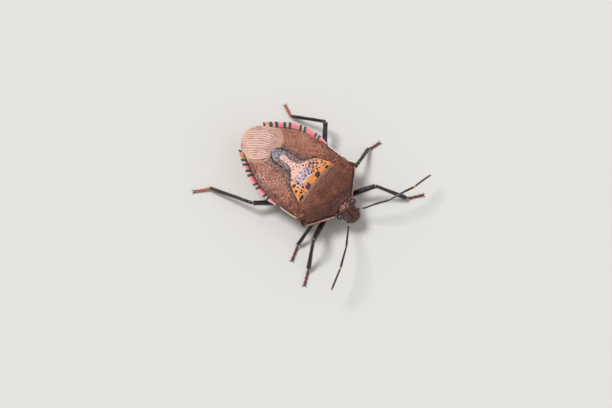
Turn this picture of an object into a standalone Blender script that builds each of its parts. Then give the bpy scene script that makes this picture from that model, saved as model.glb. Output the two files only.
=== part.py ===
"""A shield bug standing on six feet, as a life-size display model.

Lengths in the tables are millimetres in the insect's own frame: +X to its left, +Y to its tail, +Z up,
with the floor at z = 0 and y = 0 near the middle of the body. MM turns them into metres.
"""

import math

import bmesh
import bpy
from mathutils import Vector

# Driving dimensions, in millimetres.
BODY_LENGTH = 20.0
BODY_HALF_WIDTH = 5.90
DRAWN_LENGTH = 20.0  # the body length that the tables below are drawn at
MM = 0.001 * BODY_LENGTH / DRAWN_LENGTH
GAP = 0.25  # clearance between neighbouring pieces
WING_THICKNESS = 0.5
WING_EDGE_THICKNESS = 0.36
WING_TIP_THICKNESS = 0.32
OVERLAP_DROP = WING_TIP_THICKNESS + GAP + 0.14  # how far the covered wing's tip lies below the other
LEG_SIDES = 8
ANTENNA_SIDES = 8

# The back seen from the side and from above: (y, value) pairs.
MIDLINE_HEIGHT = [(-7.6, 4.30), (-6.5, 4.70), (-4.5, 5.30), (-2.9, 5.65), (-1.2, 5.85), (1.0, 5.55),
                  (4.8, 4.95), (7.5, 4.55), (9.9, 4.10)]
MARGIN_HEIGHT = [(-7.6, 3.85), (-4.9, 4.25), (-2.5, 4.30), (0.0, 4.30), (5.0, 4.20), (8.9, 4.00), (9.9, 3.90)]
HALF_WIDTH = [(-7.4, 2.05), (-6.2, 3.95), (-4.9, 5.75), (-2.2, 5.66), (0.0, 5.72), (1.5, BODY_HALF_WIDTH),
              (2.6, 5.80), (3.6, 5.57), (4.6, 5.26), (5.5, 4.87), (6.4, 4.37), (7.2, 3.85), (8.2, 3.00),
              (8.7, 2.55), (9.9, 1.20)]
DORSAL_ROUNDNESS = 2.3

# The underside: (y, height) on the midline.
THORAX_KEEL = [(-7.4, 2.00), (-6.0, 1.55), (-4.4, 1.50), (-1.6, 1.45)]
BELLY_KEEL = [(-1.4, 1.40), (1.0, 1.05), (4.0, 1.10), (6.5, 1.55), (8.2, 2.05)]

# Pronotum: (share from front to rear, x, y) of its left margin, round the shoulder.
PRONOTUM_MARGIN = [(0.0, 2.05, -7.42), (0.2, 3.22, -6.68), (0.4, 4.45, -5.92), (0.55, 5.32, -5.30),
                   (0.66, 5.76, -4.84), (0.76, 5.58, -4.36), (0.88, 4.90, -3.70), (1.0, 3.92, -2.95)]
PRONOTUM_FRONT = -7.08
PRONOTUM_REAR = -2.90
PRONOTUM_MARGIN_THICKNESS = 0.5
PRONOTUM_LOBE_THICKNESS = 0.75
PROTHORAX_STEP = (0.44, 0.54)  # where the deep front part gives way to the thin rear lobe
PLEURON_BULGE = 0.85

# Scutellum: (y, half width), wide at the base with a long tongue behind the waist.
SCUTELLUM_MARGIN = [(-2.62, 3.70), (-1.7, 3.28), (-0.9, 2.95), (-0.28, 2.54), (0.24, 2.00), (0.66, 1.40),
                    (1.10, 1.08), (2.6, 0.98), (3.8, 0.86), (4.5, 0.58), (4.85, 0.22)]
SCUTELLUM_THICKNESS = 0.6

# Forewing: (share from base to tip, x, y) of the left one's outer and inner edges.
WING_OUTER = [(0.0, 5.45, -3.85), (0.10, 5.60, -2.50), (0.22, 5.62, -0.90), (0.34, 5.46, 0.60),
              (0.46, 5.18, 2.15), (0.58, 4.74, 3.80), (0.70, 3.98, 5.40), (0.80, 3.20, 6.75),
              (0.87, 2.58, 7.80), (0.91, 2.30, 8.45), (0.95, 2.00, 9.05), (1.0, 1.15, 9.58)]
WING_INNER = [(0.0, 4.05, -2.60), (0.07, 3.62, -1.78), (0.13, 3.26, -0.82), (0.20, 2.82, -0.08),
              (0.27, 2.24, 0.48), (0.33, 1.66, 0.92), (0.39, 1.38, 1.50), (0.50, 1.28, 2.70),
              (0.62, 1.17, 3.70), (0.70, 0.92, 4.52), (0.75, 0.25, 5.12), (0.79, -0.60, 5.32),
              (0.83, -1.35, 5.80), (0.87, -1.95, 6.55), (0.91, -2.25, 7.40), (0.95, -2.12, 8.35),
              (1.0, -1.30, 9.25)]
WING_TIP_BULGE = 0.45
MEMBRANE_START = (0.73, 0.82)  # share of the length at the inner and the outer edge
VEIN_HEIGHT = 0.12
VEIN_COUNT = 7
SUTURE_DEPTH = 0.08
SUTURE_SHARE = 0.30

# Connexivum: the banded rim of the abdomen that shows beside the wings.
RIM_START, RIM_END = -0.05, 8.35
RIM_WIDTH = [(-0.05, 0.60), (1.4, 1.20), (5.0, 1.30), (6.5, 0.90), (7.2, 0.60), (8.35, 0.30)]  # by y
RIM_THICKNESS = 0.55
RIM_RISE = 0.62  # from under the wing to the outer edge
RIM_SWAY = 0.14
RIM_SEGMENTS = 5
RIM_NOTCH = 0.10

# Head: (y, half width, top, bottom).
HEAD_SECTIONS = [(-7.46, 1.16, 4.08, 2.20), (-7.80, 1.30, 4.22, 2.00), (-8.30, 1.26, 4.14, 1.95),
                 (-8.80, 1.14, 3.94, 1.95), (-9.20, 1.07, 3.70, 2.02), (-9.55, 0.94, 3.46, 2.20),
                 (-9.80, 0.70, 3.26, 2.40), (-9.95, 0.40, 3.10, 2.58), (-10.0, 0.16, 2.98, 2.72)]
HEAD_SIDES = 20
CLYPEUS_SLIT = 0.14
EYE_CENTRE = (1.42, -7.94, 3.50)
EYE_RADIUS = 0.48
TUBERCLE = (0.92, -8.92, 2.66)
TUBERCLE_RADIUS = 0.25

# Rostrum: (y, height, radius), folded back under the throat.
ROSTRUM = [(-9.35, 1.52, 0.26), (-8.60, 1.30, 0.30), (-7.40, 1.22, 0.27), (-6.00, 0.98, 0.25),
           (-4.60, 0.92, 0.24), (-3.90, 0.92, 0.14)]

# Antennae: base, then the far end of each visible segment.
ANTENNAE = {
    "left": [(1.38, -9.30, 2.96), (1.76, -9.76, 3.26), (4.34, -11.96, 4.80), (7.82, -13.55, 5.20),
             (10.96, -14.09, 4.00)],
    "right": [(-1.38, -9.27, 2.96), (-1.88, -9.73, 3.30), (-4.72, -11.52, 5.50), (-7.83, -12.90, 6.30),
              (-10.58, -13.58, 4.80)],
}
ANTENNA_RADIUS = 0.25
ANTENNA_TIP_RADIUS = 0.14

# Legs: hip, knee, ankle and toe.
LEGS = {
    "fore_left": [(1.55, -5.90, 0.95), (5.22, -8.98, 3.20), (7.19, -12.90, 0.62), (9.05, -14.35, 0.22)],
    "fore_right": [(-1.55, -5.90, 0.95), (-6.45, -7.25, 4.20), (-9.19, -8.56, 0.62), (-11.20, -9.46, 0.22)],
    "mid_left": [(1.75, -3.75, 0.88), (6.27, -5.01, 3.00), (9.64, -4.38, 0.62), (11.40, -4.92, 0.22)],
    "mid_right": [(-1.75, -3.75, 0.88), (-4.75, -5.50, 2.75), (-7.44, -5.30, 0.62), (-9.48, -5.94, 0.22)],
    "hind_left": [(2.30, -2.05, 0.85), (8.30, 2.20, 3.55), (6.83, 7.11, 0.62), (7.66, 8.86, 0.22)],
    "hind_right": [(-2.20, -2.05, 0.85), (-7.07, 2.94, 2.60), (-8.56, 9.39, 0.62), (-10.16, 10.88, 0.22)],
}
HIP_RADIUS = 0.36
FEMUR_RADIUS = 0.39
KNEE_RADIUS = 0.31
TIBIA_RADIUS = 0.25
FORE_TIBIA_END_RADIUS = 0.34
TARSUS_RADIUS = 0.25
TARSUS_PROFILE = [(0.0, 0.84), (0.2, 1.0), (0.38, 1.04), (0.43, 0.86), (0.5, 0.96), (0.6, 1.0), (0.65, 0.86),
                  (0.76, 0.96), (0.92, 1.04), (1.0, 0.86)]
FOOT_HEIGHT = 0.19  # of the axis, so that every segment has a flat on the floor
CLAW_LENGTH = 0.55
CLAW_SPREAD = 0.34
CLAW_RADIUS = 0.13

# Colours, linear red, green and blue, with roughness.
BROWN = ((0.165, 0.062, 0.040), 0.55)
WING_BROWN = ((0.225, 0.095, 0.058), 0.50)
ORANGE = ((0.78, 0.27, 0.07), 0.50)
PINK = ((0.80, 0.18, 0.14), 0.45)
UNDERSIDE = ((0.36, 0.17, 0.08), 0.55)
DARK = ((0.022, 0.012, 0.020), 0.35)
EYE_BROWN = ((0.075, 0.028, 0.034), 0.20)
FOOT_PINK = ((0.34, 0.10, 0.075), 0.45)


def clear_scene():
    for obj in list(bpy.data.objects):
        bpy.data.objects.remove(obj)


def material(name, finish):
    colour, roughness = finish
    made = bpy.data.materials.new(name)
    made.use_nodes = True
    shader = made.node_tree.nodes["Principled BSDF"]
    shader.inputs["Base Color"].default_value = (*colour, 1.0)
    shader.inputs["Roughness"].default_value = roughness
    shader.inputs["Metallic"].default_value = 0.0
    return made


def smooth_through(pairs):
    """A smooth function through (position, value) pairs, level beyond both ends."""
    places = [p for p, _ in pairs]
    values = [v for _, v in pairs]
    last = len(pairs) - 1
    slopes = []
    for i in range(last + 1):
        before, after = max(i - 1, 0), min(i + 1, last)
        slopes.append((values[after] - values[before]) / (places[after] - places[before]))

    def value(place):
        if place <= places[0]:
            return values[0]
        if place >= places[-1]:
            return values[-1]
        i = max(k for k in range(last) if places[k] <= place)
        span = places[i + 1] - places[i]
        u = (place - places[i]) / span
        rise = u * u * (3 - 2 * u)
        return (values[i] * (1 - rise) + values[i + 1] * rise
                + slopes[i] * span * u * (1 - u) ** 2 - slopes[i + 1] * span * u * u * (1 - u))

    return value


def outline_through(triples):
    """A smooth plan curve through (share, x, y) triples."""
    x_at = smooth_through([(s, x) for s, x, _ in triples])
    y_at = smooth_through([(s, y) for s, _, y in triples])
    return lambda share: (x_at(share), y_at(share))


def ease(value, start, end):
    """0 before start, 1 after end, and smooth between them."""
    u = min(1.0, max(0.0, (value - start) / (end - start)))
    return u * u * (3 - 2 * u)


midline_height = smooth_through(MIDLINE_HEIGHT)
margin_height = smooth_through(MARGIN_HEIGHT)
half_width = smooth_through(HALF_WIDTH)
thorax_keel = smooth_through(THORAX_KEEL)
belly_keel = smooth_through(BELLY_KEEL)
rim_width = smooth_through(RIM_WIDTH)
scutellum_margin = smooth_through(SCUTELLUM_MARGIN)
pronotum_margin = outline_through(PRONOTUM_MARGIN)
wing_outer = outline_through(WING_OUTER)
wing_inner = outline_through(WING_INNER)
inner_edge_x = smooth_through([(y, x) for _, x, y in WING_INNER])


def dorsal(x, y):
    """Height of the insect's back."""
    out = min(1.0, abs(x) / half_width(y))
    top = midline_height(y)
    return top - (top - margin_height(y)) * out ** DORSAL_ROUNDNESS


def finish(bm, name, look):
    """Turns a bmesh in millimetres into a named object in metres."""
    bmesh.ops.recalc_face_normals(bm, faces=bm.faces[:])
    bmesh.ops.scale(bm, vec=Vector((MM, MM, MM)), verts=bm.verts[:])
    mesh = bpy.data.meshes.new(name)
    bm.to_mesh(mesh)
    bm.free()
    mesh.shade_smooth()
    mesh.set_sharp_from_angle(angle=math.radians(50))
    mesh.materials.append(look)
    obj = bpy.data.objects.new(name, mesh)
    bpy.context.scene.collection.objects.link(obj)
    return obj


def plate(across, along, top, bottom):
    """A curved plate: top(u, v) and bottom(u, v) give its faces, split into triangles alike on both."""
    bm = bmesh.new()
    bmesh.ops.create_grid(bm, x_segments=across, y_segments=along, size=0.5)
    bmesh.ops.triangulate(bm, faces=bm.faces[:], quad_method="FIXED")
    upper = bm.verts[:]
    copied = bmesh.ops.duplicate(bm, geom=bm.verts[:] + bm.edges[:] + bm.faces[:])
    lower = [v for v in copied["geom"] if isinstance(v, bmesh.types.BMVert)]
    rim = [e for e in bm.edges if e.is_boundary]
    for verts, surface in ((upper, top), (lower, bottom)):
        for v in verts:
            v.co = Vector(surface(v.co.x + 0.5, v.co.y + 0.5))
    bmesh.ops.bridge_loops(bm, edges=rim)
    return bm


def loft(rings):
    """A closed solid through rings of points, each ring with as many points as the next."""
    bm = bmesh.new()
    before = None
    for points in rings:
        verts = [bm.verts.new(p) for p in points]
        edges = [bm.edges.new((a, b)) for a, b in zip(verts, verts[1:] + verts[:1])]
        if before is None or points is rings[-1]:
            bmesh.ops.contextual_create(bm, geom=edges)
        if before is not None:
            bmesh.ops.bridge_loops(bm, edges=before + edges)
        before = edges
    return bm


def round_ring(centre, along, width, height, sides):
    """Points of an oval ring across the direction along, with a flat underneath."""
    side = along.cross(Vector((0, 0, 1)))
    side = side.normalized() if side.length > 1e-6 else Vector((1, 0, 0))
    up = side.cross(along).normalized()
    turns = [2 * math.pi * (k + 0.5) / sides for k in range(sides)]
    return [centre + side * (width * math.sin(a)) - up * (height * math.cos(a)) for a in turns]


def tube(stations, sides, floor=None):
    """A tapering limb through (point, radius) stations. Nothing reaches below floor."""
    centres = [Vector(p) for p, _ in stations]
    rings = []
    for i, (_, radius) in enumerate(stations):
        ahead = centres[min(i + 1, len(centres) - 1)] - centres[max(i - 1, 0)]
        rings.append(round_ring(centres[i], ahead.normalized(), radius, radius, sides))
    if floor is not None:
        rings = [[Vector((p.x, p.y, max(p.z, floor))) for p in ring] for ring in rings]
    return loft(rings)


def union(pieces, name, look):
    """One node from several closed pieces that overlap, each given as a bmesh."""
    objects = [finish(bm, f"{name}_piece{i}", look) for i, bm in enumerate(pieces)]
    joined, others = objects[0], objects[1:]
    group = bpy.data.collections.new(f"{name}_pieces")
    bpy.context.scene.collection.children.link(group)
    for obj in others:
        bpy.context.scene.collection.objects.unlink(obj)
        group.objects.link(obj)
    fuse = joined.modifiers.new("fuse", "BOOLEAN")
    fuse.operation = "UNION"
    fuse.operand_type = "COLLECTION"
    fuse.collection = group
    fuse.solver = "EXACT"
    bpy.context.view_layer.update()
    whole = bpy.data.meshes.new_from_object(joined.evaluated_get(bpy.context.evaluated_depsgraph_get()))
    joined.modifiers.clear()
    joined.data = whole
    joined.name = name
    for obj in others:
        bpy.data.objects.remove(obj)
    bpy.data.collections.remove(group)
    return joined


def prothorax_bottom(x, y, top, share):
    """Deep and keeled in front, where the forelegs grow, and a thin lobe behind."""
    out = min(1.0, abs(x) / half_width(y))
    margin = margin_height(y) - PRONOTUM_MARGIN_THICKNESS
    keel = thorax_keel(y)
    deep = keel + (margin - keel) * out ** PLEURON_BULGE
    thickness = PRONOTUM_LOBE_THICKNESS + (PRONOTUM_MARGIN_THICKNESS - PRONOTUM_LOBE_THICKNESS) * out
    thin = top - thickness
    lobe = ease(share, *PROTHORAX_STEP)
    return deep + (max(thin, deep) - deep) * lobe


def make_prothorax(look):
    def plan(u, v):
        t = 2 * u - 1
        edge_x, edge_y = pronotum_margin(v)
        middle = PRONOTUM_FRONT + (PRONOTUM_REAR - PRONOTUM_FRONT) * v
        return edge_x * t, middle + (edge_y - middle) * abs(t) ** 2.2

    def top(u, v):
        x, y = plan(u, v)
        return x, y, dorsal(x, y)

    def bottom(u, v):
        x, y = plan(u, v)
        return x, y, prothorax_bottom(x, y, dorsal(x, y), v)

    return finish(plate(18, 14, top, bottom), "prothorax", look)


def make_pterothorax(look):
    """The middle and hind thorax, under the pronotum's lobe, the scutellum and the wing roots."""
    front, rear = -4.45, -1.62

    def plan(u, v):
        y = front + (rear - front) * v
        return (2 * u - 1) * (half_width(y) - 1.05), y

    def top(u, v):
        x, y = plan(u, v)
        cover = max(PRONOTUM_LOBE_THICKNESS, SCUTELLUM_THICKNESS) + GAP + 0.12
        return x, y, dorsal(x, y) - cover

    def bottom(u, v):
        x, y = plan(u, v)
        out = abs(2 * u - 1)
        keel = thorax_keel(y)
        return x, y, keel + (margin_height(y) - 1.25 - keel) * out ** PLEURON_BULGE

    return finish(plate(12, 5, top, bottom), "pterothorax", look)


def make_scutellum(look):
    start, end = SCUTELLUM_MARGIN[0][0], SCUTELLUM_MARGIN[-1][0]

    def top(u, v):
        y = start + (end - start) * (1 - (1 - v) ** 1.25)
        out = 2 * u - 1
        x = scutellum_margin(y) * out
        hump = 0.22 * ease(y, -2.6, -1.4) * ease(y, 1.6, 0.0) * (1 - out * out)
        return x, y, dorsal(x, y) + hump - 0.10 * abs(out) ** 4

    def bottom(u, v):
        x, y, _ = top(u, v)
        return x, y, dorsal(x, y) - SCUTELLUM_THICKNESS

    return finish(plate(12, 18, top, bottom), "scutellum", look)


def forewing_lift(x, y, u, v):
    """Ridges of the membrane's veins, and the groove of the suture beside the scutellum."""
    start = MEMBRANE_START[0] + (MEMBRANE_START[1] - MEMBRANE_START[0]) * u
    on_membrane = ease(v, start, start + 0.05) * ease(v, 1.0, 0.95)
    phase = (u * (VEIN_COUNT + 1)) % 1.0
    ridge = max(0.0, 1 - 2.6 * min(phase, 1 - phase)) if 0.06 < u < 0.94 else 0.0
    groove = max(0.0, 1 - abs(u - SUTURE_SHARE) / 0.05) * ease(v, 0.66, 0.55)
    return VEIN_HEIGHT * ridge * on_membrane - SUTURE_DEPTH * groove


def make_forewing(side, look):
    """The left wing lies on top. The right one's tip dips under it."""
    sign = 1 if side == "left" else -1

    def plan(u, v):
        (ix, iy), (ox, oy) = wing_inner(v), wing_outer(v)
        bulge = WING_TIP_BULGE * 4 * u * (1 - u) * ease(v, 0.85, 1.0)
        return ix + (ox - ix) * u, iy + (oy - iy) * u + bulge

    def base_height(x, y):
        height = dorsal(x, y)
        if side == "right":
            cover = inner_edge_x(y)
            height -= OVERLAP_DROP * ease(-x, cover - 1.30, cover - 0.40)
        return height

    def top(u, v):
        x, y = plan(u, v)
        return sign * x, y, base_height(x, y) + forewing_lift(x, y, u, v)

    def bottom(u, v):
        x, y = plan(u, v)
        edge = (WING_THICKNESS - WING_EDGE_THICKNESS) * ease(u, 0.8, 1.0)
        tip = (WING_THICKNESS - WING_TIP_THICKNESS) * ease(v, 0.72, 0.80)
        return sign * x, y, base_height(x, y) - WING_THICKNESS + max(edge, tip)

    return finish(plate(24, 28, top, bottom), f"forewing_{side}", look)


def rim_outer(y):
    """The rim's outer edge, with a small step at the end of each segment."""
    share = (y - RIM_START) / (RIM_END - RIM_START) * RIM_SEGMENTS
    step = RIM_NOTCH * ((share % 1.0) - 0.5) if 0.02 < share < RIM_SEGMENTS - 0.02 else 0.0
    return half_width(y) + step


def sway(y):
    """How far the abdomen is swung to the insect's left."""
    return RIM_SWAY * ease(y, -1.0, 3.0) * ease(y, 8.5, 6.0)


def make_abdomen(look):
    front, rear = -1.35, 8.10

    def plan(u, v):
        y = front + (rear - front) * (1 - (1 - v) ** 1.3)
        side_room = half_width(y) - rim_width(y) - RIM_NOTCH - GAP
        return (2 * u - 1) * side_room + sway(y), y

    def top(u, v):
        x, y = plan(u, v)
        under_wings = WING_THICKNESS + GAP + 0.15
        under_tips = OVERLAP_DROP * ease(y, 3.7, 4.7) * ease(abs(x), 3.8, 3.0)
        return x, y, dorsal(x, y) - under_wings - under_tips

    def bottom(u, v):
        x, y, cover = top(u, v)
        keel = belly_keel(y)
        curved = keel + (margin_height(y) - 1.45 - keel) * abs(2 * u - 1) ** 1.7
        return x, y, min(curved, cover - WING_THICKNESS)

    return finish(plate(14, 14, top, bottom), "abdomen", look)


def make_rim(side, look):
    """The connexivum: a flat strip, notched between its segments, that rises to its outer edge."""
    sign = 1 if side == "left" else -1

    def plan(u, v):
        y = RIM_START + (RIM_END - RIM_START) * v
        return rim_outer(y) - rim_width(y) * (1 - u), y

    def top(u, v):
        x, y = plan(u, v)
        under_wing = margin_height(y) - WING_EDGE_THICKNESS - GAP - 0.10
        outward = rim_width(y) * (1 - u)
        rise = RIM_RISE * ease(outward, 0.62, 0.0) * ease(y, -0.2, 2.2)
        return sign * x + sway(y), y, under_wing + rise

    def bottom(u, v):
        x, y, z = top(u, v)
        return x, y, z - RIM_THICKNESS

    return finish(plate(5, 6 * RIM_SEGMENTS, top, bottom), f"connexivum_{side}", look)


def head_ring(y, width, top, bottom):
    middle = bottom + (top - bottom) * 0.45
    points = []
    for k in range(HEAD_SIDES):
        turn = 2 * math.pi * k / HEAD_SIDES + math.pi / 2
        reach = (top - middle) if math.sin(turn) > 0 else (middle - bottom)
        x = width * math.copysign(abs(math.cos(turn)) ** 0.85, math.cos(turn))
        z = middle + reach * math.copysign(abs(math.sin(turn)) ** 0.85, math.sin(turn))
        if k == 0:
            z -= CLYPEUS_SLIT * ease(y, -8.5, -9.0) * ease(y, -9.95, -9.7)
        points.append(Vector((x, y, z)))
    return points


def ball(centre, radius, flatten=1.0):
    bm = bmesh.new()
    bmesh.ops.create_icosphere(bm, subdivisions=2, radius=radius)
    bmesh.ops.scale(bm, vec=Vector((flatten, 1.0, 1.0)), verts=bm.verts[:])
    bmesh.ops.translate(bm, vec=Vector(centre), verts=bm.verts[:])
    return bm


def make_head(look):
    """Skull with a socket for each eye and a tubercle under each antenna."""
    pieces = [loft([head_ring(*section) for section in HEAD_SECTIONS])]
    for sign in (1, -1):
        x, y, z = TUBERCLE
        pieces.append(ball((sign * x, y, z), TUBERCLE_RADIUS))
    head = union(pieces, "head", look)
    for sign in (1, -1):
        x, y, z = EYE_CENTRE
        socket = finish(ball((sign * x, y, z), EYE_RADIUS + GAP), f"eye_socket{sign}", look)
        socket.hide_render = True
        socket.display_type = "WIRE"
        cut = head.modifiers.new(f"socket{sign}", "BOOLEAN")
        cut.operation = "DIFFERENCE"
        cut.object = socket
        cut.solver = "EXACT"
    return head


def make_eye(side, look):
    x, y, z = EYE_CENTRE
    sign = 1 if side == "left" else -1
    return finish(ball((sign * x, y, z), EYE_RADIUS), f"eye_{side}", look)


def make_rostrum(look):
    stations = [((0.0, y, z), radius) for y, z, radius in ROSTRUM]
    return finish(tube(stations, LEG_SIDES), "rostrum", look)


def make_antenna(side, look):
    """Four visible segments, each a little thicker at its far end."""
    joints = [Vector(p) for p in ANTENNAE[side]]
    stations = [(joints[0], ANTENNA_RADIUS * 0.7)]
    for i, (a, b) in enumerate(zip(joints, joints[1:])):
        if i == 0:
            stations.append((b, ANTENNA_RADIUS * 0.94))
            continue
        last = i == len(joints) - 2
        stations.append((a.lerp(b, 0.5), ANTENNA_RADIUS))
        stations.append((a.lerp(b, 0.94), ANTENNA_RADIUS * (0.8 if last else 1.08)))
        stations.append((b, ANTENNA_TIP_RADIUS if last else ANTENNA_RADIUS * 0.94))
    return finish(tube(stations, ANTENNA_SIDES), f"antenna_{side}", look)


def rounded_run(start, end, radii):
    """Stations from start to end, closed by a rounded cap of the last radius."""
    along = (end - start).normalized()
    count = len(radii) - 1
    stations = [(start.lerp(end, i / count), r) for i, r in enumerate(radii)]
    last = radii[-1]
    stations.append((end + along * last * 0.6, last * 0.8))
    stations.append((end + along * last, last * 0.35))
    return stations


def make_femur(leg, look):
    hip, knee = (Vector(p) for p in LEGS[leg][:2])
    along = (knee - hip).normalized()
    radii = [HIP_RADIUS, HIP_RADIUS * 0.94, FEMUR_RADIUS, FEMUR_RADIUS, FEMUR_RADIUS * 0.92, KNEE_RADIUS]
    stations = [(hip - along * HIP_RADIUS, HIP_RADIUS * 0.5)] + rounded_run(hip, knee, radii)
    return finish(tube(stations, LEG_SIDES), f"femur_{leg}", look)


def make_tibia(leg, look):
    _, knee, ankle, _ = (Vector(p) for p in LEGS[leg])
    along = (ankle - knee).normalized()
    start = knee + along * (KNEE_RADIUS + GAP)
    end_radius = FORE_TIBIA_END_RADIUS if leg.startswith("fore") else TIBIA_RADIUS * 1.12
    middle = (TIBIA_RADIUS + end_radius) / 2
    radii = [TIBIA_RADIUS, TIBIA_RADIUS, middle, end_radius]
    return finish(tube(rounded_run(start, ankle, radii), LEG_SIDES), f"tibia_{leg}", look)


def make_tarsus(leg, look):
    """Three short segments lying on the floor, with two claws at the end."""
    _, knee, ankle, toe = (Vector(p) for p in LEGS[leg])
    ankle_radius = FORE_TIBIA_END_RADIUS if leg.startswith("fore") else TIBIA_RADIUS * 1.12
    along = (toe - ankle).normalized()
    start = ankle + along * (ankle_radius + GAP + 0.1)
    stations = []
    for place, share in TARSUS_PROFILE:
        point = start.lerp(toe, place)
        point.z = FOOT_HEIGHT + (start.z - FOOT_HEIGHT) * ease(place, 0.2, 0.0)
        stations.append((point, TARSUS_RADIUS * share))
    pieces = [tube(stations, LEG_SIDES, floor=0.0)]
    flat = Vector((along.x, along.y, 0)).normalized()
    aside = Vector((-flat.y, flat.x, 0))
    root = stations[-1][0] - flat * 0.12
    for turn in (1, -1):
        middle = root + flat * CLAW_LENGTH * 0.6 + aside * turn * CLAW_SPREAD * 0.7
        tip = root + flat * CLAW_LENGTH * 0.9 + aside * turn * CLAW_SPREAD * 1.25
        claw = [(root, CLAW_RADIUS), (middle, CLAW_RADIUS * 0.85), (Vector((tip.x, tip.y, 0.08)), CLAW_RADIUS * 0.4)]
        pieces.append(tube(claw, 6, floor=0.01))
    return union(pieces, f"tarsus_{leg}", look)


def stand_at_origin(nodes):
    """Parents every node to one empty, placed so that the origin is under the middle of the model."""
    bpy.context.view_layer.update()
    corners = [obj.matrix_world @ v.co for obj in nodes for v in obj.data.vertices]
    low = [min(c[i] for c in corners) for i in range(3)]
    high = [max(c[i] for c in corners) for i in range(3)]
    root = bpy.data.objects.new("shield_bug", None)
    bpy.context.scene.collection.objects.link(root)
    root.location = (-(low[0] + high[0]) / 2, -(low[1] + high[1]) / 2, -low[2])
    for obj in nodes:
        obj.parent = root
    sockets = [obj for obj in bpy.data.objects if obj.name.startswith("eye_socket")]
    for obj in sockets:
        obj.parent = root


def main():
    clear_scene()
    brown = material("brown_cuticle", BROWN)
    wing = material("wing_cuticle", WING_BROWN)
    orange = material("scutellum_cuticle", ORANGE)
    pink = material("rim_cuticle", PINK)
    under = material("underside_cuticle", UNDERSIDE)
    dark = material("leg_cuticle", DARK)
    eye = material("eye_facets", EYE_BROWN)
    foot = material("foot_cuticle", FOOT_PINK)
    nodes = [make_head(brown), make_prothorax(brown), make_pterothorax(under), make_scutellum(orange),
             make_abdomen(under), make_rostrum(dark)]
    for side in ("left", "right"):
        nodes.append(make_eye(side, eye))
        nodes.append(make_antenna(side, dark))
        nodes.append(make_forewing(side, wing))
        nodes.append(make_rim(side, pink))
    for leg in LEGS:
        nodes.append(make_femur(leg, dark))
        nodes.append(make_tibia(leg, dark))
        nodes.append(make_tarsus(leg, foot))
    stand_at_origin(nodes)


main()
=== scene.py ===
"""Looks for the life-size shield bug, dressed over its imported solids.

Shapes are drawn in millimetres in the insect's own frame: +X to its left, +Y to its tail, +Z up, with the
floor at z = 0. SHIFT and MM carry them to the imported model's frame.
"""

import math
from bisect import bisect_right

import bmesh
import bpy
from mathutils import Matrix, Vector, kdtree, noise


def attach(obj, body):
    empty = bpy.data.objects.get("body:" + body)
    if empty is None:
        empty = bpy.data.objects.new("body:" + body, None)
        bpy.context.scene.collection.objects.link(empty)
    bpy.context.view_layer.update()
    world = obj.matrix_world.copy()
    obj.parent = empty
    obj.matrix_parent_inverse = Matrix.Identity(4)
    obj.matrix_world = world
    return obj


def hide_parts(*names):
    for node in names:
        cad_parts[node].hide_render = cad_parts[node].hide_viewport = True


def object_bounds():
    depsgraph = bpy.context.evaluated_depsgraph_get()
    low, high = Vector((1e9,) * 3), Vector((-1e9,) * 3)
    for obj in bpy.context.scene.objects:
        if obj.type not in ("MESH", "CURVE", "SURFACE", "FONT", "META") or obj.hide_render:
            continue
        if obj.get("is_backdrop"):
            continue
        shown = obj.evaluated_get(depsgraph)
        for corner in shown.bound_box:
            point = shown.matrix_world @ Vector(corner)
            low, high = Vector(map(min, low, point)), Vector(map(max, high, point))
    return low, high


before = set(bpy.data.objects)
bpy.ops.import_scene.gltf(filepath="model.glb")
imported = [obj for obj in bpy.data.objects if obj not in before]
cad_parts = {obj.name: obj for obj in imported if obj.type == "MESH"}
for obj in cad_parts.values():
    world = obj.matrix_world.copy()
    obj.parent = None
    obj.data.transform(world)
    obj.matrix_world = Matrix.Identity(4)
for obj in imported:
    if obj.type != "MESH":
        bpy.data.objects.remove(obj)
cad_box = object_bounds()

MM = 0.001
SHIFT = Vector((-0.0845, 1.735, 0.0))

# The back from the side and from above: (y, value) pairs, as the solids have them.
MIDLINE_HEIGHT = [(-7.6, 4.30), (-6.5, 4.70), (-4.5, 5.30), (-2.9, 5.65), (-1.2, 5.85), (1.0, 5.55),
                  (4.8, 4.95), (7.5, 4.55), (9.9, 4.10)]
MARGIN_HEIGHT = [(-7.6, 3.85), (-4.9, 4.25), (-2.5, 4.30), (0.0, 4.30), (5.0, 4.20), (8.9, 4.00), (9.9, 3.90)]
HALF_WIDTH = [(-7.4, 2.05), (-6.2, 3.95), (-4.9, 5.75), (-2.2, 5.66), (0.0, 5.72), (1.5, 5.90),
              (2.6, 5.80), (3.6, 5.57), (4.6, 5.26), (5.5, 4.87), (6.4, 4.37), (7.2, 3.85), (8.2, 3.00),
              (8.7, 2.55), (9.9, 1.20)]
DORSAL_ROUNDNESS = 2.3
KEEL = [(-7.4, 2.00), (-6.0, 1.55), (-4.4, 1.50), (-1.6, 1.40), (1.0, 1.05), (4.0, 1.10), (6.5, 1.55),
        (8.2, 2.15), (8.6, 2.60)]
PRONOTUM_MARGIN = [(0.0, 2.05, -7.42), (0.2, 3.22, -6.68), (0.4, 4.45, -5.92), (0.55, 5.32, -5.30),
                   (0.66, 5.76, -4.84), (0.76, 5.58, -4.36), (0.88, 4.90, -3.66), (1.0, 3.85, -2.78)]
PRONOTUM_FRONT, PRONOTUM_REAR = -7.10, -2.48
SCUTELLUM_MARGIN = [(-2.62, 3.70), (-1.7, 3.28), (-0.9, 2.95), (-0.28, 2.54), (0.24, 2.00), (0.66, 1.40),
                    (1.10, 1.12), (2.6, 1.08), (3.6, 1.05), (4.3, 0.88), (4.8, 0.55), (5.08, 0.20)]
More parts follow.
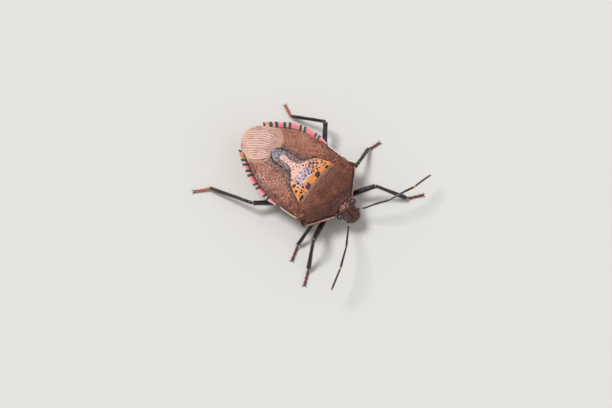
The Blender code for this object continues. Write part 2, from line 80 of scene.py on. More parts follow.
WING_OUTER = [(0.0, 5.45, -3.85), (0.10, 5.60, -2.50), (0.22, 5.62, -0.90), (0.34, 5.46, 0.60),
              (0.46, 5.18, 2.15), (0.58, 4.74, 3.80), (0.70, 3.98, 5.40), (0.80, 3.20, 6.75),
              (0.87, 2.58, 7.80), (0.91, 2.30, 8.45), (0.95, 2.00, 9.05), (1.0, 1.15, 9.58)]
WING_INNER = [(0.0, 4.05, -2.60), (0.07, 3.62, -1.78), (0.13, 3.26, -0.82), (0.20, 2.82, -0.08),
              (0.27, 2.24, 0.48), (0.33, 1.66, 0.92), (0.39, 1.38, 1.50), (0.50, 1.28, 2.70),
              (0.62, 1.17, 3.70), (0.70, 0.92, 4.52), (0.75, 0.20, 5.06), (0.79, -0.75, 5.02),
              (0.83, -1.60, 5.24), (0.87, -2.30, 6.05), (0.91, -2.74, 6.95), (0.95, -2.35, 8.15),
              (1.0, -1.30, 9.27)]
WING_TIP_BULGE = 0.45
RIM_JOINTS = {"left": [-0.20, 1.68, 4.10, 6.20, 7.80, 8.85], "right": [-0.20, 1.68, 3.80, 5.90, 7.45, 8.95]}
RIM_SWAY = 0.14

EYE_CENTRE = (1.42, -7.94, 3.50)
EYE_RADIUS = 0.50
ANTENNAE = {
    "left": [(1.38, -9.30, 2.96), (1.76, -9.76, 3.26), (4.34, -11.96, 4.80), (7.82, -13.55, 5.20),
             (10.96, -14.09, 4.00)],
    "right": [(-1.38, -9.27, 2.96), (-1.88, -9.73, 3.30), (-4.72, -11.52, 5.50), (-7.83, -12.90, 6.30),
              (-10.58, -13.58, 4.80)],
}
LEGS = {
    "fore_left": [(1.55, -5.90, 0.95), (5.22, -8.98, 3.20), (7.19, -12.90, 0.62), (9.05, -14.35, 0.22)],
    "fore_right": [(-1.55, -5.90, 0.95), (-6.45, -7.25, 4.20), (-9.19, -8.56, 0.62), (-11.20, -9.46, 0.22)],
    "mid_left": [(1.75, -3.75, 0.88), (6.27, -5.01, 3.00), (9.64, -4.38, 0.62), (11.40, -4.92, 0.22)],
    "mid_right": [(-1.75, -3.75, 0.88), (-4.75, -5.50, 2.75), (-7.44, -5.30, 0.62), (-9.48, -5.94, 0.22)],
    "hind_left": [(2.30, -2.05, 0.85), (8.30, 2.20, 3.55), (6.83, 7.11, 0.62), (7.66, 8.86, 0.22)],
    "hind_right": [(-2.30, -2.05, 0.85), (-7.07, 2.94, 2.60), (-8.56, 9.39, 0.62), (-10.16, 10.88, 0.22)],
}


# Shape helpers.

def smooth_through(pairs):
    """A smooth function through (position, value) pairs, level beyond both ends."""
    places = [p for p, _ in pairs]
    values = [v for _, v in pairs]
    last = len(pairs) - 1
    slopes = []
    for i in range(last + 1):
        before, after = max(i - 1, 0), min(i + 1, last)
        slopes.append((values[after] - values[before]) / (places[after] - places[before]))

    def value(place):
        if place <= places[0]:
            return values[0]
        if place >= places[-1]:
            return values[-1]
        i = bisect_right(places, place) - 1
        span = places[i + 1] - places[i]
        u = (place - places[i]) / span
        rise = u * u * (3 - 2 * u)
        return (values[i] * (1 - rise) + values[i + 1] * rise
                + slopes[i] * span * u * (1 - u) ** 2 - slopes[i + 1] * span * u * u * (1 - u))

    return value


def outline_through(triples):
    x_at = smooth_through([(s, x) for s, x, _ in triples])
    y_at = smooth_through([(s, y) for s, _, y in triples])
    return lambda share: (x_at(share), y_at(share))


def ease(value, start, end):
    """0 before start, 1 after end, and smooth between them. start may be the larger."""
    u = min(1.0, max(0.0, (value - start) / (end - start)))
    return u * u * (3 - 2 * u)


def hill(value, centre, width):
    """1 at centre, falling smoothly to 0 at width from it."""
    return ease(abs(value - centre), width, 0.0)


def spot(x, y, centre, radius, soft=0.15):
    """1 inside a round or oval spot and 0 outside. radius is one number or an x and y pair."""
    rx, ry = radius if isinstance(radius, tuple) else (radius, radius)
    return ease(math.hypot((x - centre[0]) / rx, (y - centre[1]) / ry), 1 + soft / min(rx, ry), 1.0)


def waves(x, y, size, seed=0.0):
    """Smooth irregularity between about -1 and 1."""
    return noise.noise(Vector((x / size, y / size, seed)))


midline_height = smooth_through(MIDLINE_HEIGHT)
margin_height = smooth_through(MARGIN_HEIGHT)
half_width = smooth_through(HALF_WIDTH)
keel = smooth_through(KEEL)
scutellum_margin = smooth_through(SCUTELLUM_MARGIN)
pronotum_margin = outline_through(PRONOTUM_MARGIN)
wing_outer = outline_through(WING_OUTER)
wing_inner = outline_through(WING_INNER)
wing_edge_x = smooth_through([(y, x) for _, x, y in WING_OUTER])
wing_inner_x = smooth_through([(y, x) for _, x, y in WING_INNER])


def dorsal(x, y):
    """Height of the insect's back."""
    out = min(1.0, abs(x) / half_width(y))
    top = midline_height(y)
    return top - (top - margin_height(y)) * out ** DORSAL_ROUNDNESS


def sway(y):
    return RIM_SWAY * ease(y, -1.0, 3.0) * ease(y, 8.5, 6.0)


# Mesh helpers.

def plate(across, along, top, bottom, masks):
    """A closed curved plate. top and bottom place the grid's point (u, v); masks(u, v) gives named values."""
    bm = bmesh.new()
    bmesh.ops.create_grid(bm, x_segments=across, y_segments=along, size=0.5)
    layers = {}
    for name in masks(0.5, 0.5):
        layers[name] = bm.verts.layers.float.new(name)
    for v in bm.verts:
        for name, value in masks(v.co.x + 0.5, v.co.y + 0.5).items():
            v[layers[name]] = value
    upper = bm.verts[:]
    copied = bmesh.ops.duplicate(bm, geom=bm.verts[:] + bm.edges[:] + bm.faces[:])
    lower = [v for v in copied["geom"] if isinstance(v, bmesh.types.BMVert)]
    rim = [e for e in bm.edges if e.is_boundary]
    for verts, surface in ((upper, top), (lower, bottom)):
        for v in verts:
            v.co = Vector(surface(v.co.x + 0.5, v.co.y + 0.5))
    bmesh.ops.bridge_loops(bm, edges=rim)
    return bm


def loft(rings, values=None):
    """A closed solid through rings of points. values gives each ring's named masks."""
    bm = bmesh.new()
    layers = {name: bm.verts.layers.float.new(name) for name in (values[0] if values else ())}
    before = None
    for i, points in enumerate(rings):
        verts = [bm.verts.new(p) for p in points]
        for name, layer in layers.items():
            for v in verts:
                v[layer] = values[i][name]
        edges = [bm.edges.new((a, b)) for a, b in zip(verts, verts[1:] + verts[:1])]
        if before is None or i == len(rings) - 1:
            bmesh.ops.contextual_create(bm, geom=edges)
        if before is not None:
            bmesh.ops.bridge_loops(bm, edges=before + edges)
        before = edges
    return bm


def ring_across(centre, along, width, height, sides):
    side = along.cross(Vector((0, 0, 1)))
    side = side.normalized() if side.length > 1e-6 else Vector((1, 0, 0))
    up = side.cross(along).normalized()
    turns = [2 * math.pi * (k + 0.5) / sides for k in range(sides)]
    return [centre + side * (width * math.sin(a)) - up * (height * math.cos(a)) for a in turns]


def limb(path, radius_at, sides=20, steps=40, masks=None, floor=None, flatten=1.0):
    """A round limb along path(share), as thick as radius_at(share) says."""
    rings = []
    values = []
    for i in range(steps + 1):
        share = i / steps
        here = path(share)
        ahead = path(min(1.0, share + 0.01)) - path(max(0.0, share - 0.01))
        radius = radius_at(share)
        ring = ring_across(here, ahead.normalized(), radius, radius * flatten, sides)
        if floor is not None:
            ring = [Vector((p.x, p.y, max(p.z, floor))) for p in ring]
        rings.append(ring)
        values.append(masks(share) if masks else {})
    return loft(rings, values if masks else None)


def ball(centre, radii, subdivisions=4):
    bm = bmesh.new()
    bmesh.ops.create_icosphere(bm, subdivisions=subdivisions, radius=1.0)
    bmesh.ops.scale(bm, vec=Vector(radii), verts=bm.verts[:])
    bmesh.ops.translate(bm, vec=Vector(centre), verts=bm.verts[:])
    return bm


def merged(parts):
    """One bmesh from several."""
    whole = bmesh.new()
    names = {layer.name for bm in parts for layer in bm.verts.layers.float}
    for name in sorted(names):
        whole.verts.layers.float.new(name)
    for bm in parts:
        mesh = bpy.data.meshes.new("part")
        bmesh.ops.recalc_face_normals(bm, faces=bm.faces[:])
        bm.to_mesh(mesh)
        bm.free()
        whole.from_mesh(mesh)
        bpy.data.meshes.remove(mesh)
    return whole


def piece(bm, name, look, slot, *nodes, sharp=None):
    """A finished piece of the model from a bmesh in millimetres."""
    bmesh.ops.recalc_face_normals(bm, faces=bm.faces[:])
    bmesh.ops.translate(bm, vec=SHIFT, verts=bm.verts[:])
    bmesh.ops.scale(bm, vec=Vector((MM, MM, MM)), verts=bm.verts[:])
    mesh = bpy.data.meshes.new(name)
    bm.to_mesh(mesh)
    bm.free()
    mesh.shade_smooth()
    if sharp:
        mesh.set_sharp_from_angle(angle=math.radians(sharp))
    mesh.materials.append(look)
    obj = bpy.data.objects.new(name, mesh)
    bpy.context.scene.collection.objects.link(obj)
    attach(obj, "root")
    if nodes:
        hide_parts(*nodes)
    return obj


# Material helpers.

def plug(tree, socket, value):
    if isinstance(value, bpy.types.NodeSocket):
        tree.links.new(value, socket)
    elif isinstance(value, tuple) and len(value) == 3 and socket.type == "RGBA":
        socket.default_value = (*value, 1.0)
    else:
        socket.default_value = value


def node(tree, kind, inputs, **settings):
    made = tree.nodes.new("ShaderNode" + kind)
    for key, value in settings.items():
        setattr(made, key, value)
    for key, value in inputs.items():
        plug(tree, made.inputs[key], value)
    return made


def calc(tree, operation, a, b=0.0):
    return node(tree, "Math", {0: a, 1: b}, operation=operation).outputs[0]


def blend(tree, a, b, amount):
    """Colour a, turning into b as amount goes from 0 to 1."""
    return node(tree, "Mix", {0: amount, 6: a, 7: b}, data_type="RGBA").outputs[2]


def ramp(tree, value, low, high, to_low=0.0, to_high=1.0):
    made = node(tree, "MapRange", {"Value": value, "From Min": low, "From Max": high, "To Min": to_low,
                                   "To Max": to_high}, interpolation_type="SMOOTHSTEP")
    return made.outputs[0]


def mask(tree, name):
    return node(tree, "Attribute", {}, attribute_name=name).outputs["Fac"]


def group_sockets(tree, inputs, outputs):
    for name, kind, value in inputs:
        made = tree.interface.new_socket(name, in_out="INPUT", socket_type=kind)
        if value is not None:
            made.default_value = value
    for name, kind in outputs:
        tree.interface.new_socket(name, in_out="OUTPUT", socket_type=kind)
    return tree.nodes.new("NodeGroupInput").outputs, tree.nodes.new("NodeGroupOutput").inputs


def make_pit_group(name, dimensions):
    """Round pits scattered over a shell, level ("2D") or curved ("3D"). Pit is 1 in a pit."""
    tree = bpy.data.node_groups.new(name, "ShaderNodeTree")
    given, out = group_sockets(
        tree,
        [("Place", "NodeSocketVector", None), ("Per Metre", "NodeSocketFloat", 4000.0),
         ("Size", "NodeSocketFloat", 0.35), ("Share", "NodeSocketFloat", 1.0),
         ("Evenness", "NodeSocketFloat", 0.8)],
        [("Pit", "NodeSocketFloat")])
    cells = node(tree, "TexVoronoi", {"Vector": given["Place"], "Scale": given["Per Metre"],
                                      "Randomness": given["Evenness"]}, voronoi_dimensions=dimensions)
    shade = node(tree, "SeparateColor", {"Color": cells.outputs["Color"]}).outputs[0]
    kept = calc(tree, "LESS_THAN", shade, given["Share"])
    inner = calc(tree, "MULTIPLY", given["Size"], 0.55)
    hole = ramp(tree, cells.outputs["Distance"], given["Size"], inner)
    tree.links.new(calc(tree, "MULTIPLY", hole, kept), out["Pit"])
    return tree


def make_mottle_group():
    """Cloudy variation, fine grain and streaks, all around 0.5. Stretch squeezes the streaks along each axis."""
    tree = bpy.data.node_groups.new("shell_mottle", "ShaderNodeTree")
    given, out = group_sockets(
        tree,
        [("Place", "NodeSocketVector", None), ("Per Metre", "NodeSocketFloat", 700.0),
         ("Stretch", "NodeSocketVector", (1.0, 1.0, 1.0)), ("Grain", "NodeSocketFloat", 0.35)],
        [("Cloud", "NodeSocketFloat"), ("Grain", "NodeSocketFloat"), ("Streak", "NodeSocketFloat")])
    cloud = node(tree, "TexNoise", {"Vector": given["Place"], "Scale": given["Per Metre"], "Detail": 3.0,
                                    "Roughness": 0.55})
    fine = calc(tree, "MULTIPLY", given["Per Metre"], 9.0)
    grain = node(tree, "TexNoise", {"Vector": given["Place"], "Scale": fine, "Detail": 2.0})
    both = node(tree, "Mix", {0: given["Grain"], 2: cloud.outputs["Fac"], 3: grain.outputs["Fac"]})
    tree.links.new(ramp(tree, both.outputs[0], 0.28, 0.72), out["Cloud"])
    tree.links.new(grain.outputs["Fac"], out["Grain"])
    drawn = node(tree, "VectorMath", {0: given["Place"], 1: given["Stretch"]}, operation="MULTIPLY").outputs[0]
    streak = node(tree, "TexNoise", {"Vector": drawn, "Scale": 2600.0, "Detail": 2.0, "Roughness": 0.6})
    tree.links.new(ramp(tree, streak.outputs["Fac"], 0.36, 0.64), out["Streak"])
    return tree


PITS = {"2D": make_pit_group("level_pits", "2D"), "3D": make_pit_group("curved_pits", "3D")}
MOTTLE = make_mottle_group()


def placed(tree, group, inputs):
    made = tree.nodes.new("ShaderNodeGroup")
    made.node_tree = group
    for key, value in inputs.items():
        plug(tree, made.inputs[key], value)
    return made.outputs


def shell(name, base, other, coats=(), pits=(), streaks=None, cloud=700.0, rough=0.45, gloss=0.0, relief=0.02,
          polish=None, pit_kind="2D", evenness=0.8):
    """A shell material.

    base and other are its two mottled colours. streaks is (stretch, colour, strength). coats are (mask name,
    colour, strength) layers over them. pits are (per metre, size, share, colour, strength, depth in mm, mask
    name or None) layers of pits, level or curved. polish names the mask where it shines.
    """
    look = bpy.data.materials.new(name)
    look.use_nodes = True
    tree = look.node_tree
    shader = tree.nodes["Principled BSDF"]
    found = node(tree, "TexCoord", {}).outputs
    place = found["Object"]
    level = ramp(tree, node(tree, "SeparateXYZ", {0: found["Normal"]}).outputs[2], 0.30, 0.65)
    stretch, drawn_colour, drawn = streaks or ((1.0, 1.0, 1.0), base, 0.0)
    mottle = placed(tree, MOTTLE, {"Place": place, "Per Metre": cloud, "Stretch": stretch})
    colour = blend(tree, base, other, mottle["Cloud"])
    colour = blend(tree, colour, drawn_colour, calc(tree, "MULTIPLY", mottle["Streak"], drawn))
    for mask_name, tint, strength in coats:
        edge = calc(tree, "MULTIPLY_ADD", mottle["Grain"], 0.5)
        edge.node.inputs[2].default_value = -0.25
        amount = calc(tree, "ADD", mask(tree, mask_name), edge)
        amount = calc(tree, "MULTIPLY", ramp(tree, amount, 0.25, 0.75), strength)
        colour = blend(tree, colour, tint, amount)
    height = calc(tree, "MULTIPLY", mottle["Grain"], relief)
    for scale, size, share, tint, strength, depth, where in pits:
        made = placed(tree, PITS[pit_kind], {"Place": place, "Per Metre": scale, "Size": size, "Share": share,
                                             "Evenness": evenness})
        hole = made["Pit"]
        if pit_kind == "2D":
            hole = calc(tree, "MULTIPLY", hole, level)
        if where:
            hole = calc(tree, "MULTIPLY", hole, mask(tree, where))
        colour = blend(tree, colour, tint, calc(tree, "MULTIPLY", hole, strength))
        height = calc(tree, "SUBTRACT", height, calc(tree, "MULTIPLY", hole, depth))
    bump = node(tree, "Bump", {"Height": height, "Strength": 1.0, "Distance": MM})
    roughness = ramp(tree, mottle["Grain"], 0.2, 0.8, rough - 0.08, rough + 0.08)
    if polish:
        roughness = calc(tree, "SUBTRACT", roughness, calc(tree, "MULTIPLY", mask(tree, polish), rough - 0.14))
    plug(tree, shader.inputs["Base Color"], colour)
    plug(tree, shader.inputs["Normal"], bump.outputs[0])
    plug(tree, shader.inputs["Roughness"], roughness)
    shader.inputs["Specular IOR Level"].default_value = 0.35
    shader.inputs["Coat Weight"].default_value = gloss
    shader.inputs["Coat Roughness"].default_value = 0.14
    return look


# Where each piece lies, and where its colours change.

def near(points):
    """Distance in plan from (x, y) to a smooth line through points."""
    tree = kdtree.KDTree(20 * len(points))
    x_at = smooth_through([(i, p[0]) for i, p in enumerate(points)])
    y_at = smooth_through([(i, p[1]) for i, p in enumerate(points)])
    for i in range(20 * len(points)):
        s = i / 20 * (len(points) - 1) / (len(points) - 0.05)
        tree.insert((x_at(s), y_at(s), 0.0), i)
    tree.balance()
    return lambda x, y: tree.find((x, y, 0.0))[2]


front_margin = near([(x, y) for _, x, y in PRONOTUM_MARGIN[:5]])
rear_margin = near([(x, y) for _, x, y in PRONOTUM_MARGIN[4:]])


def pronotum_plan(u, v):
    t = 2 * u - 1
    edge_x, edge_y = pronotum_margin(v)
    middle = PRONOTUM_FRONT + (PRONOTUM_REAR - PRONOTUM_FRONT) * v
    return edge_x * t, middle + (edge_y - middle) * abs(t) ** 2.2


def pronotum_masks(u, v):
    x, y = pronotum_plan(u, v)
    side = abs(x)
    wobble = 0.05 * waves(x, y, 0.7)
    edge = front_margin(side, y) + wobble
    ahead = ease(y, -4.98, -5.30)
    behind = rear_margin(side, y)
    rim = ease(edge, 0.115, 0.07) * ahead
    groove = max(ease(abs(edge - 0.235), 0.13, 0.08) * ahead,
                 ease(behind, 0.20, 0.07) * ease(y, -4.7, -4.5) * ease(y, -3.9, -4.3))
    rear = PRONOTUM_REAR - y - 0.012 * side * side
    flecks = ease(waves(x, y, 0.35, 21.0), 0.05, 0.3)
    return {
        "rim": rim,
        "rosy": rim * hill(y, -6.15, 0.60),
        "amber": rim * (ease(y, -6.35, -6.75) if x > 0 else hill(y, -5.72, 0.30)),
        "groove": groove,
        "pitted": (1 - rim) * (1 - groove),
        "callus": spot(side, y, (1.75, -6.28), (0.95, 0.30), 0.4),
        "knob": spot(side, y, (5.52, -4.66), (0.26, 0.36), 0.25),
        "shine": max(spot(side, y, (5.30, -4.30), 0.40, 0.2), 0.25 * ease(edge, 0.5, 0.3)),
        "orange": max(0.6 * spot(side, y + wobble, (4.60, -3.42), (0.55, 0.05), 0.12) * flecks,
                      0.7 * flecks * ease(behind, 0.14, 0.04) * ease(y, -4.2, -3.7) * ease(y, -2.7, -3.0)),
        "collar": ease(y - 0.10 * side * side, -7.02, -7.09) * ease(side, 1.5, 1.0) * ease(waves(x, y, 0.3, 23.0), -0.3, 0.1),
        "pale": ease(rear + wobble, 0.52, 0.34) * ease(side, 3.9, 3.3) * (0.7 + 0.3 * waves(x, y * 0.1, 0.12, 24.0)),
        # painted shade: the front and the insect's right side of the pronotum are darkened where they slope away from
        # the light
        "dusk": ease(y + 0.5 * waves(x, y, 1.7) + 0.32 * x, -4.0, -7.2),
        "blush": ease(waves(x, y, 1.3, 22.0) + 0.35 * ease(y, -4.8, -3.0), 0.0, 0.5),
    }


def make_pronotum(look):
    def top(u, v):
        x, y = pronotum_plan(u, v)
        side = abs(x)
        edge = front_margin(side, y)
        ahead = ease(y, -4.9, -5.2)
        z = dorsal(x, y)
        z += (0.06 * ease(edge, 0.17, 0.09) - 0.08 * hill(edge, 0.235, 0.15)) * ahead
        rear = PRONOTUM_REAR - y - 0.012 * side * side
        z += 0.06 * ease(y, -4.2, -3.0) - 0.10 * ease(rear, 0.22, 0.0)
        z -= 0.10 * ease(min(edge, rear_margin(side, y)), 0.07, 0.0)
        z += 0.20 * ease(math.hypot(side - 5.28, y + 4.26), 0.42, 0.0)
        z -= 0.09 * hill(math.hypot((side - 5.2) / 1.4, y + 4.2), 0.58, 0.24)
        callus = math.hypot((side - 1.75) / 1.15, (y + 6.28) / 0.42)
        z += 0.02 * ease(callus, 1.0, 0.5) - 0.025 * hill(callus, 1.15, 0.45)
        z -= 0.05 * hill(y - 0.10 * side * side, -6.72, 0.16) * ease(side, 2.2, 1.5)
        z += 0.035 * waves(x, y, 1.1) + 0.022 * waves(0.4 * x, y, 0.26, 3.0)
        return x, y, z

    def bottom(u, v):
        x, y = pronotum_plan(u, v)
        out = min(1.0, abs(x) / half_width(y))
        under = keel(y) + (margin_height(y) - 0.32 - keel(y)) * out ** 0.85
        return x, y, under + (max(dorsal(x, y) - 0.42, under) - under) * ease(v, 0.44, 0.56)

    return piece(plate(190, 110, top, bottom, pronotum_masks), "pronotum", look, "brown_cuticle", "prothorax")


def head_point(turn, y, width, top, low):
    """A point of the head's skin. turn goes round from the crown, to the insect's left and under."""
    side, up = math.sin(turn), math.cos(turn)
    middle = low + (top - low) * 0.48
    reach = (top - middle) if up > 0 else (middle - low)
    x = width * math.copysign(abs(side) ** 0.82, side)
    z = middle + reach * math.copysign(abs(up) ** 0.82, up)
    slit = 0.30 + 0.12 * ease(y, -8.2, -9.3)
    crown = max(0.0, up)
    z += 0.09 * ease(abs(x), slit, slit - 0.22) * ease(y, -7.9, -8.4) * crown
    z -= 0.12 * hill(abs(x), slit, 0.10) * ease(y, -8.0, -8.35) * ease(y, -9.9, -9.5) * crown
    z += 0.07 * hill(abs(x), 0.86 * width, 0.22) * ease(y, -8.4, -8.7) * ease(y, -9.9, -9.6) * crown
    z += 0.03 * waves(x, y, 0.30, 1.0) * crown
    return Vector((x, y, z))


def make_head(look):
    profile = [(-7.10, 1.05, 4.22, 2.15), (-7.46, 1.22, 4.28, 2.05), (-7.80, 1.32, 4.32, 1.95),
               (-8.30, 1.26, 4.22, 1.92), (-8.80, 1.14, 4.00, 1.93), (-9.20, 1.07, 3.74, 2.00),
               (-9.55, 0.96, 3.48, 2.15), (-9.80, 0.74, 3.28, 2.35), (-9.93, 0.48, 3.14, 2.52),
               (-9.99, 0.20, 3.00, 2.68)]
    width, top, low = (smooth_through([(-row[0], row[k]) for row in profile]) for k in (1, 2, 3))
    rings = []
    values = []
    for i in range(91):
        y = profile[0][0] + (profile[-1][0] - profile[0][0]) * (1 - (1 - i / 90) ** 1.3)
        rings.append([head_point(2 * math.pi * (k + 0.5) / 96, y, width(-y), top(-y), low(-y)) for k in range(96)])
        values.append({"slit": 0.0, "orange": 0.0, "grey": 0.0, "under": 0.0, "blush": 0.0})
    skull = loft(rings, values)
    layer = {name: skull.verts.layers.float[name] for name in values[0]}
    for v in skull.verts:
        x, y, z = v.co
        slit = 0.30 + 0.12 * ease(y, -8.2, -9.3)
        crown = ease(z, 2.9, 3.2)
        v[layer["slit"]] = ease(abs(abs(x) - slit), 0.13, 0.05) * ease(y, -8.1, -8.4) * ease(y, -9.7, -9.3) * crown
        v[layer["slit"]] *= (1.0 if x < 0 else 0.7) * (0.6 + 0.4 * hill(y, -9.0, 0.4))
        v[layer["orange"]] = spot(x, y, (0.88, -7.22), (0.34, 0.10), 0.15) * crown
        v[layer["grey"]] = hill(abs(x), 1.02, 0.30) * ease(y, -7.9, -8.3) * ease(y, -9.6, -9.2) * crown
        v[layer["blush"]] = max(spot(x, y, (-0.50, -7.36), (0.42, 0.20), 0.3), 0.6 * spot(x, y, (0.30, -7.7), (0.5, 0.3), 0.3)) \
            * ease(waves(x, y, 0.16, 61.0), -0.15, 0.15)
        v[layer["under"]] = ease(z, 2.9, 2.5)
    parts = [skull]
    for sign in (1, -1):
        ocellus = ball((sign * 0.62, -7.66, 4.08), (0.10, 0.10, 0.08), 3)
        for name, value in (("orange", 1.0), ("slit", 0.0)):
            made = ocellus.verts.layers.float.new(name)
            for v in ocellus.verts:
                v[made] = value
        parts.append(ocellus)
        tubercle = limb(lambda s, sign=sign: Vector((sign * (0.80 + 0.50 * s), -8.82 - 0.42 * s, 2.80 + 0.12 * s)),
                        lambda s: 0.26 * (1 - 0.35 * s ** 2) * ease(s, 1.15, 0.8), 24, 12)
        parts.append(tubercle)
    return piece(merged(parts), "head_skin", look, "brown_cuticle", "head")


def make_eye(side, look):
    sign = 1 if side == "left" else -1
    x, y, z = EYE_CENTRE
    bm = ball((0, 0, 0), (EYE_RADIUS * 0.94, EYE_RADIUS, EYE_RADIUS * 0.96), 5)
    bmesh.ops.translate(bm, vec=Vector((sign * x, y, z)), verts=bm.verts[:])
    stalk = ball((sign * (x - 0.30), y + 0.02, z - 0.02), (0.34, 0.44, 0.42), 4)
    return piece(merged([bm, stalk]), f"eye_{side}_facets", look, "eye_facets", f"eye_{side}")


tongue_left = smooth_through([(-0.9, 3.05), (-0.58, 2.60), (-0.22, 2.12), (0.0, 1.92), (0.38, 1.25), (0.62, 0.76),
                              (0.88, 0.52), (1.46, 0.40), (2.34, 0.33), (3.0, 0.52), (3.6, 0.30)])
tongue_right = smooth_through([(-0.3, -2.60), (0.22, -2.02), (0.45, -1.74), (0.75, -1.42), (0.98, -1.04),
                               (1.25, -0.74), (1.55, -0.54), (2.24, -0.48), (2.8, -0.45), (3.6, -0.36)])
gold_line = near([(2.2, -0.50), (1.65, -0.81), (1.04, -1.24), (0.45, -1.66)])
pale_line = near([(0.45, -1.66), (-0.10, -1.45), (-0.59, -1.36), (-1.01, -1.40), (-1.5, -1.25)])
SCUTELLUM_PITS = [(-2.41, -0.66, 0.19), (-2.79, -1.36, 0.16), (-2.54, -2.00, 0.15), (-1.82, -0.95, 0.13),
                  (-1.79, -1.76, 0.13), (-1.38, -1.94, 0.08), (-1.88, 0.10, 0.09), (1.46, -1.67, 0.12),
                  (1.79, -1.77, 0.08), (1.68, -1.32, 0.10), (1.31, -1.15, 0.10), (2.14, -1.12, 0.12),
                  (1.81, -0.75, 0.12), (1.48, -0.38, 0.13), (1.12, -0.54, 0.11), (0.61, 0.12, 0.09),
                  (0.14, -1.36, 0.08), (-0.38, -1.10, 0.09), (0.51, -0.89, 0.09), (0.56, -1.42, 0.08),
                  (-0.57, 0.84, 0.06), (0.03, 0.76, 0.07), (0.72, 0.24, 0.08), (2.89, -1.96, 0.08), (2.52, -1.48, 0.09), (-2.20, -1.25, 0.09),
                  (-2.95, -2.05, 0.08), (0.10, 0.30, 0.06), (-0.98, 1.05, 0.08), (2.42, -0.80, 0.07)]


def scutellum_masks(u, v):
    x, y = scutellum_plan(u, v)
    wobble = 0.14 * waves(x, y, 0.40, 2.0)
    jx, jy = x + 0.09 * waves(x, y, 0.16, 71.0), y + 0.09 * waves(x, y, 0.16, 72.0)
    inside = scutellum_margin(y) - abs(x)
    core = ease(jx, tongue_right(y) - 0.02, tongue_right(y) + 0.08) * ease(jx, tongue_left(y) + 0.02, tongue_left(y) - 0.08)
    core *= ease(jy, 3.66, 3.40)
    stray = 0.20 * waves(x, y, 0.33, 78.0)
    lavender = max(spot(jx + wobble, y + stray, (-1.06, -0.70), (0.76, 0.56), 0.16),
                   spot(jx + stray, y + wobble, (-0.20, -0.86), (0.86, 0.68), 0.16),
                   spot(jx, y + wobble + stray, (0.60, -0.94), (0.52, 0.58), 0.16),
                   0.9 * spot(jx + stray, y + wobble, (1.74, -0.66), (0.30, 0.48), 0.16),
                   0.7 * spot(jx, y + stray, (-1.66, -1.36), (0.24, 0.20), 0.12))
    bright = max(spot(jx, y + 0.5 * wobble, (-0.20, -2.02), (0.62, 0.40), 0.08),
                 spot(jx, y, (1.82, -2.26), (0.66, 0.26), 0.08))
    dots = max(spot(x + 0.4 * (jx - x), y + 0.4 * (jy - y), (px, py), 1.1 * r, 0.04) for px, py, r in SCUTELLUM_PITS)
    seams = max(ease(abs(x - tongue_left(y)), 0.07, 0.03) * ease(y, -0.3, 0.3),
                ease(abs(x - tongue_right(y)), 0.07, 0.03) * ease(y, 0.4, 0.9)) * ease(y, 3.6, 3.2)
    cream = ease(y - 0.26 * abs(x + 0.3) + wobble, -0.75, -0.15)
    cream = max(cream, ease(inside + wobble, 0.50, 0.30) * ease(x, 0.2, -0.6) * ease(y, -1.6, -0.7))
    spots = max(spot(jx, jy, (0.87, -2.20), (0.40, 0.31), 0.06), spot(jx, jy, (-1.21, -2.26), (0.42, 0.28), 0.06),
                spot(x, y, (2.60, -2.42), (0.24, 0.12), 0.08), spot(x, y, (-3.02, -2.44), (0.34, 0.12), 0.08), dots)
    tip = ease(jy + wobble, 3.4, 4.0)
    return {
        "flank": (1 - core) * ease(y, -0.5, -0.1),
        "blue": tip,
        "tongue": core * ease(y + wobble, 0.55, 1.1),
        "rosy": core * ease(waves(x, y, 0.24, 73.0), 0.0, 0.25) * ease(y, -1.2, 0.0),
        "seam": seams * ease(waves(x, y, 0.16, 31.0), -0.25, 0.1),
        "cream": cream * core,
        "peach": ease(waves(x, y, 0.22, 74.0), 0.0, 0.2) * (1 - bright),
        "red": ease(waves(x, y, 0.17, 75.0), 0.22, 0.34) * ease(y, 0.2, -0.6) * ease(abs(x), 0.8, 1.4),
        "lavender": lavender * (1 - bright),
        "mist": max(lavender * (1 - bright), 0.6 * tip) * ease(waves(x, y, 0.30, 32.0), 0.06, 0.20),
        "ink": max(lavender * (1 - bright), tip) * ease(waves(x, y, 0.26, 76.0), 0.0, 0.14),
        "bright": bright,
        "spots": spots,
        "violet": max(spot(jx, jy, (0.90, -2.16), (0.22, 0.17), 0.08), spot(jx, jy, (-1.21, -2.24), (0.30, 0.18), 0.1)),
        "gold": ease(gold_line(jx, y), 0.20, 0.10),
        "whitish": ease(pale_line(jx, jy), 0.10, 0.04),
        "pitted": (1 - bright) * (1 - lavender) * (1 - spots) * (1 - 0.75 * cream) * core * ease(inside, 0.05, 0.22) * ease(y + wobble, 0.9, 0.4),
        "fine": (1 - core) * ease(y, -0.5, 0.0),
        "core": core * ease(y, 0.5, 1.0),
        # a dark line along the margin, partly its own outline and partly painted shade of the gap beside the wings
        "edge": ease(inside, 0.075, 0.02) * ease(y, -2.0, 0.0) * ease(waves(x, y, 0.5, 77.0), -0.45, 0.1),
    }


def scutellum_plan(u, v):
    start, end = SCUTELLUM_MARGIN[0][0] - 0.45, SCUTELLUM_MARGIN[-1][0]
    y = start + (end - start) * (1 - (1 - v) ** 1.25)
    return scutellum_margin(y) * (2 * u - 1), y


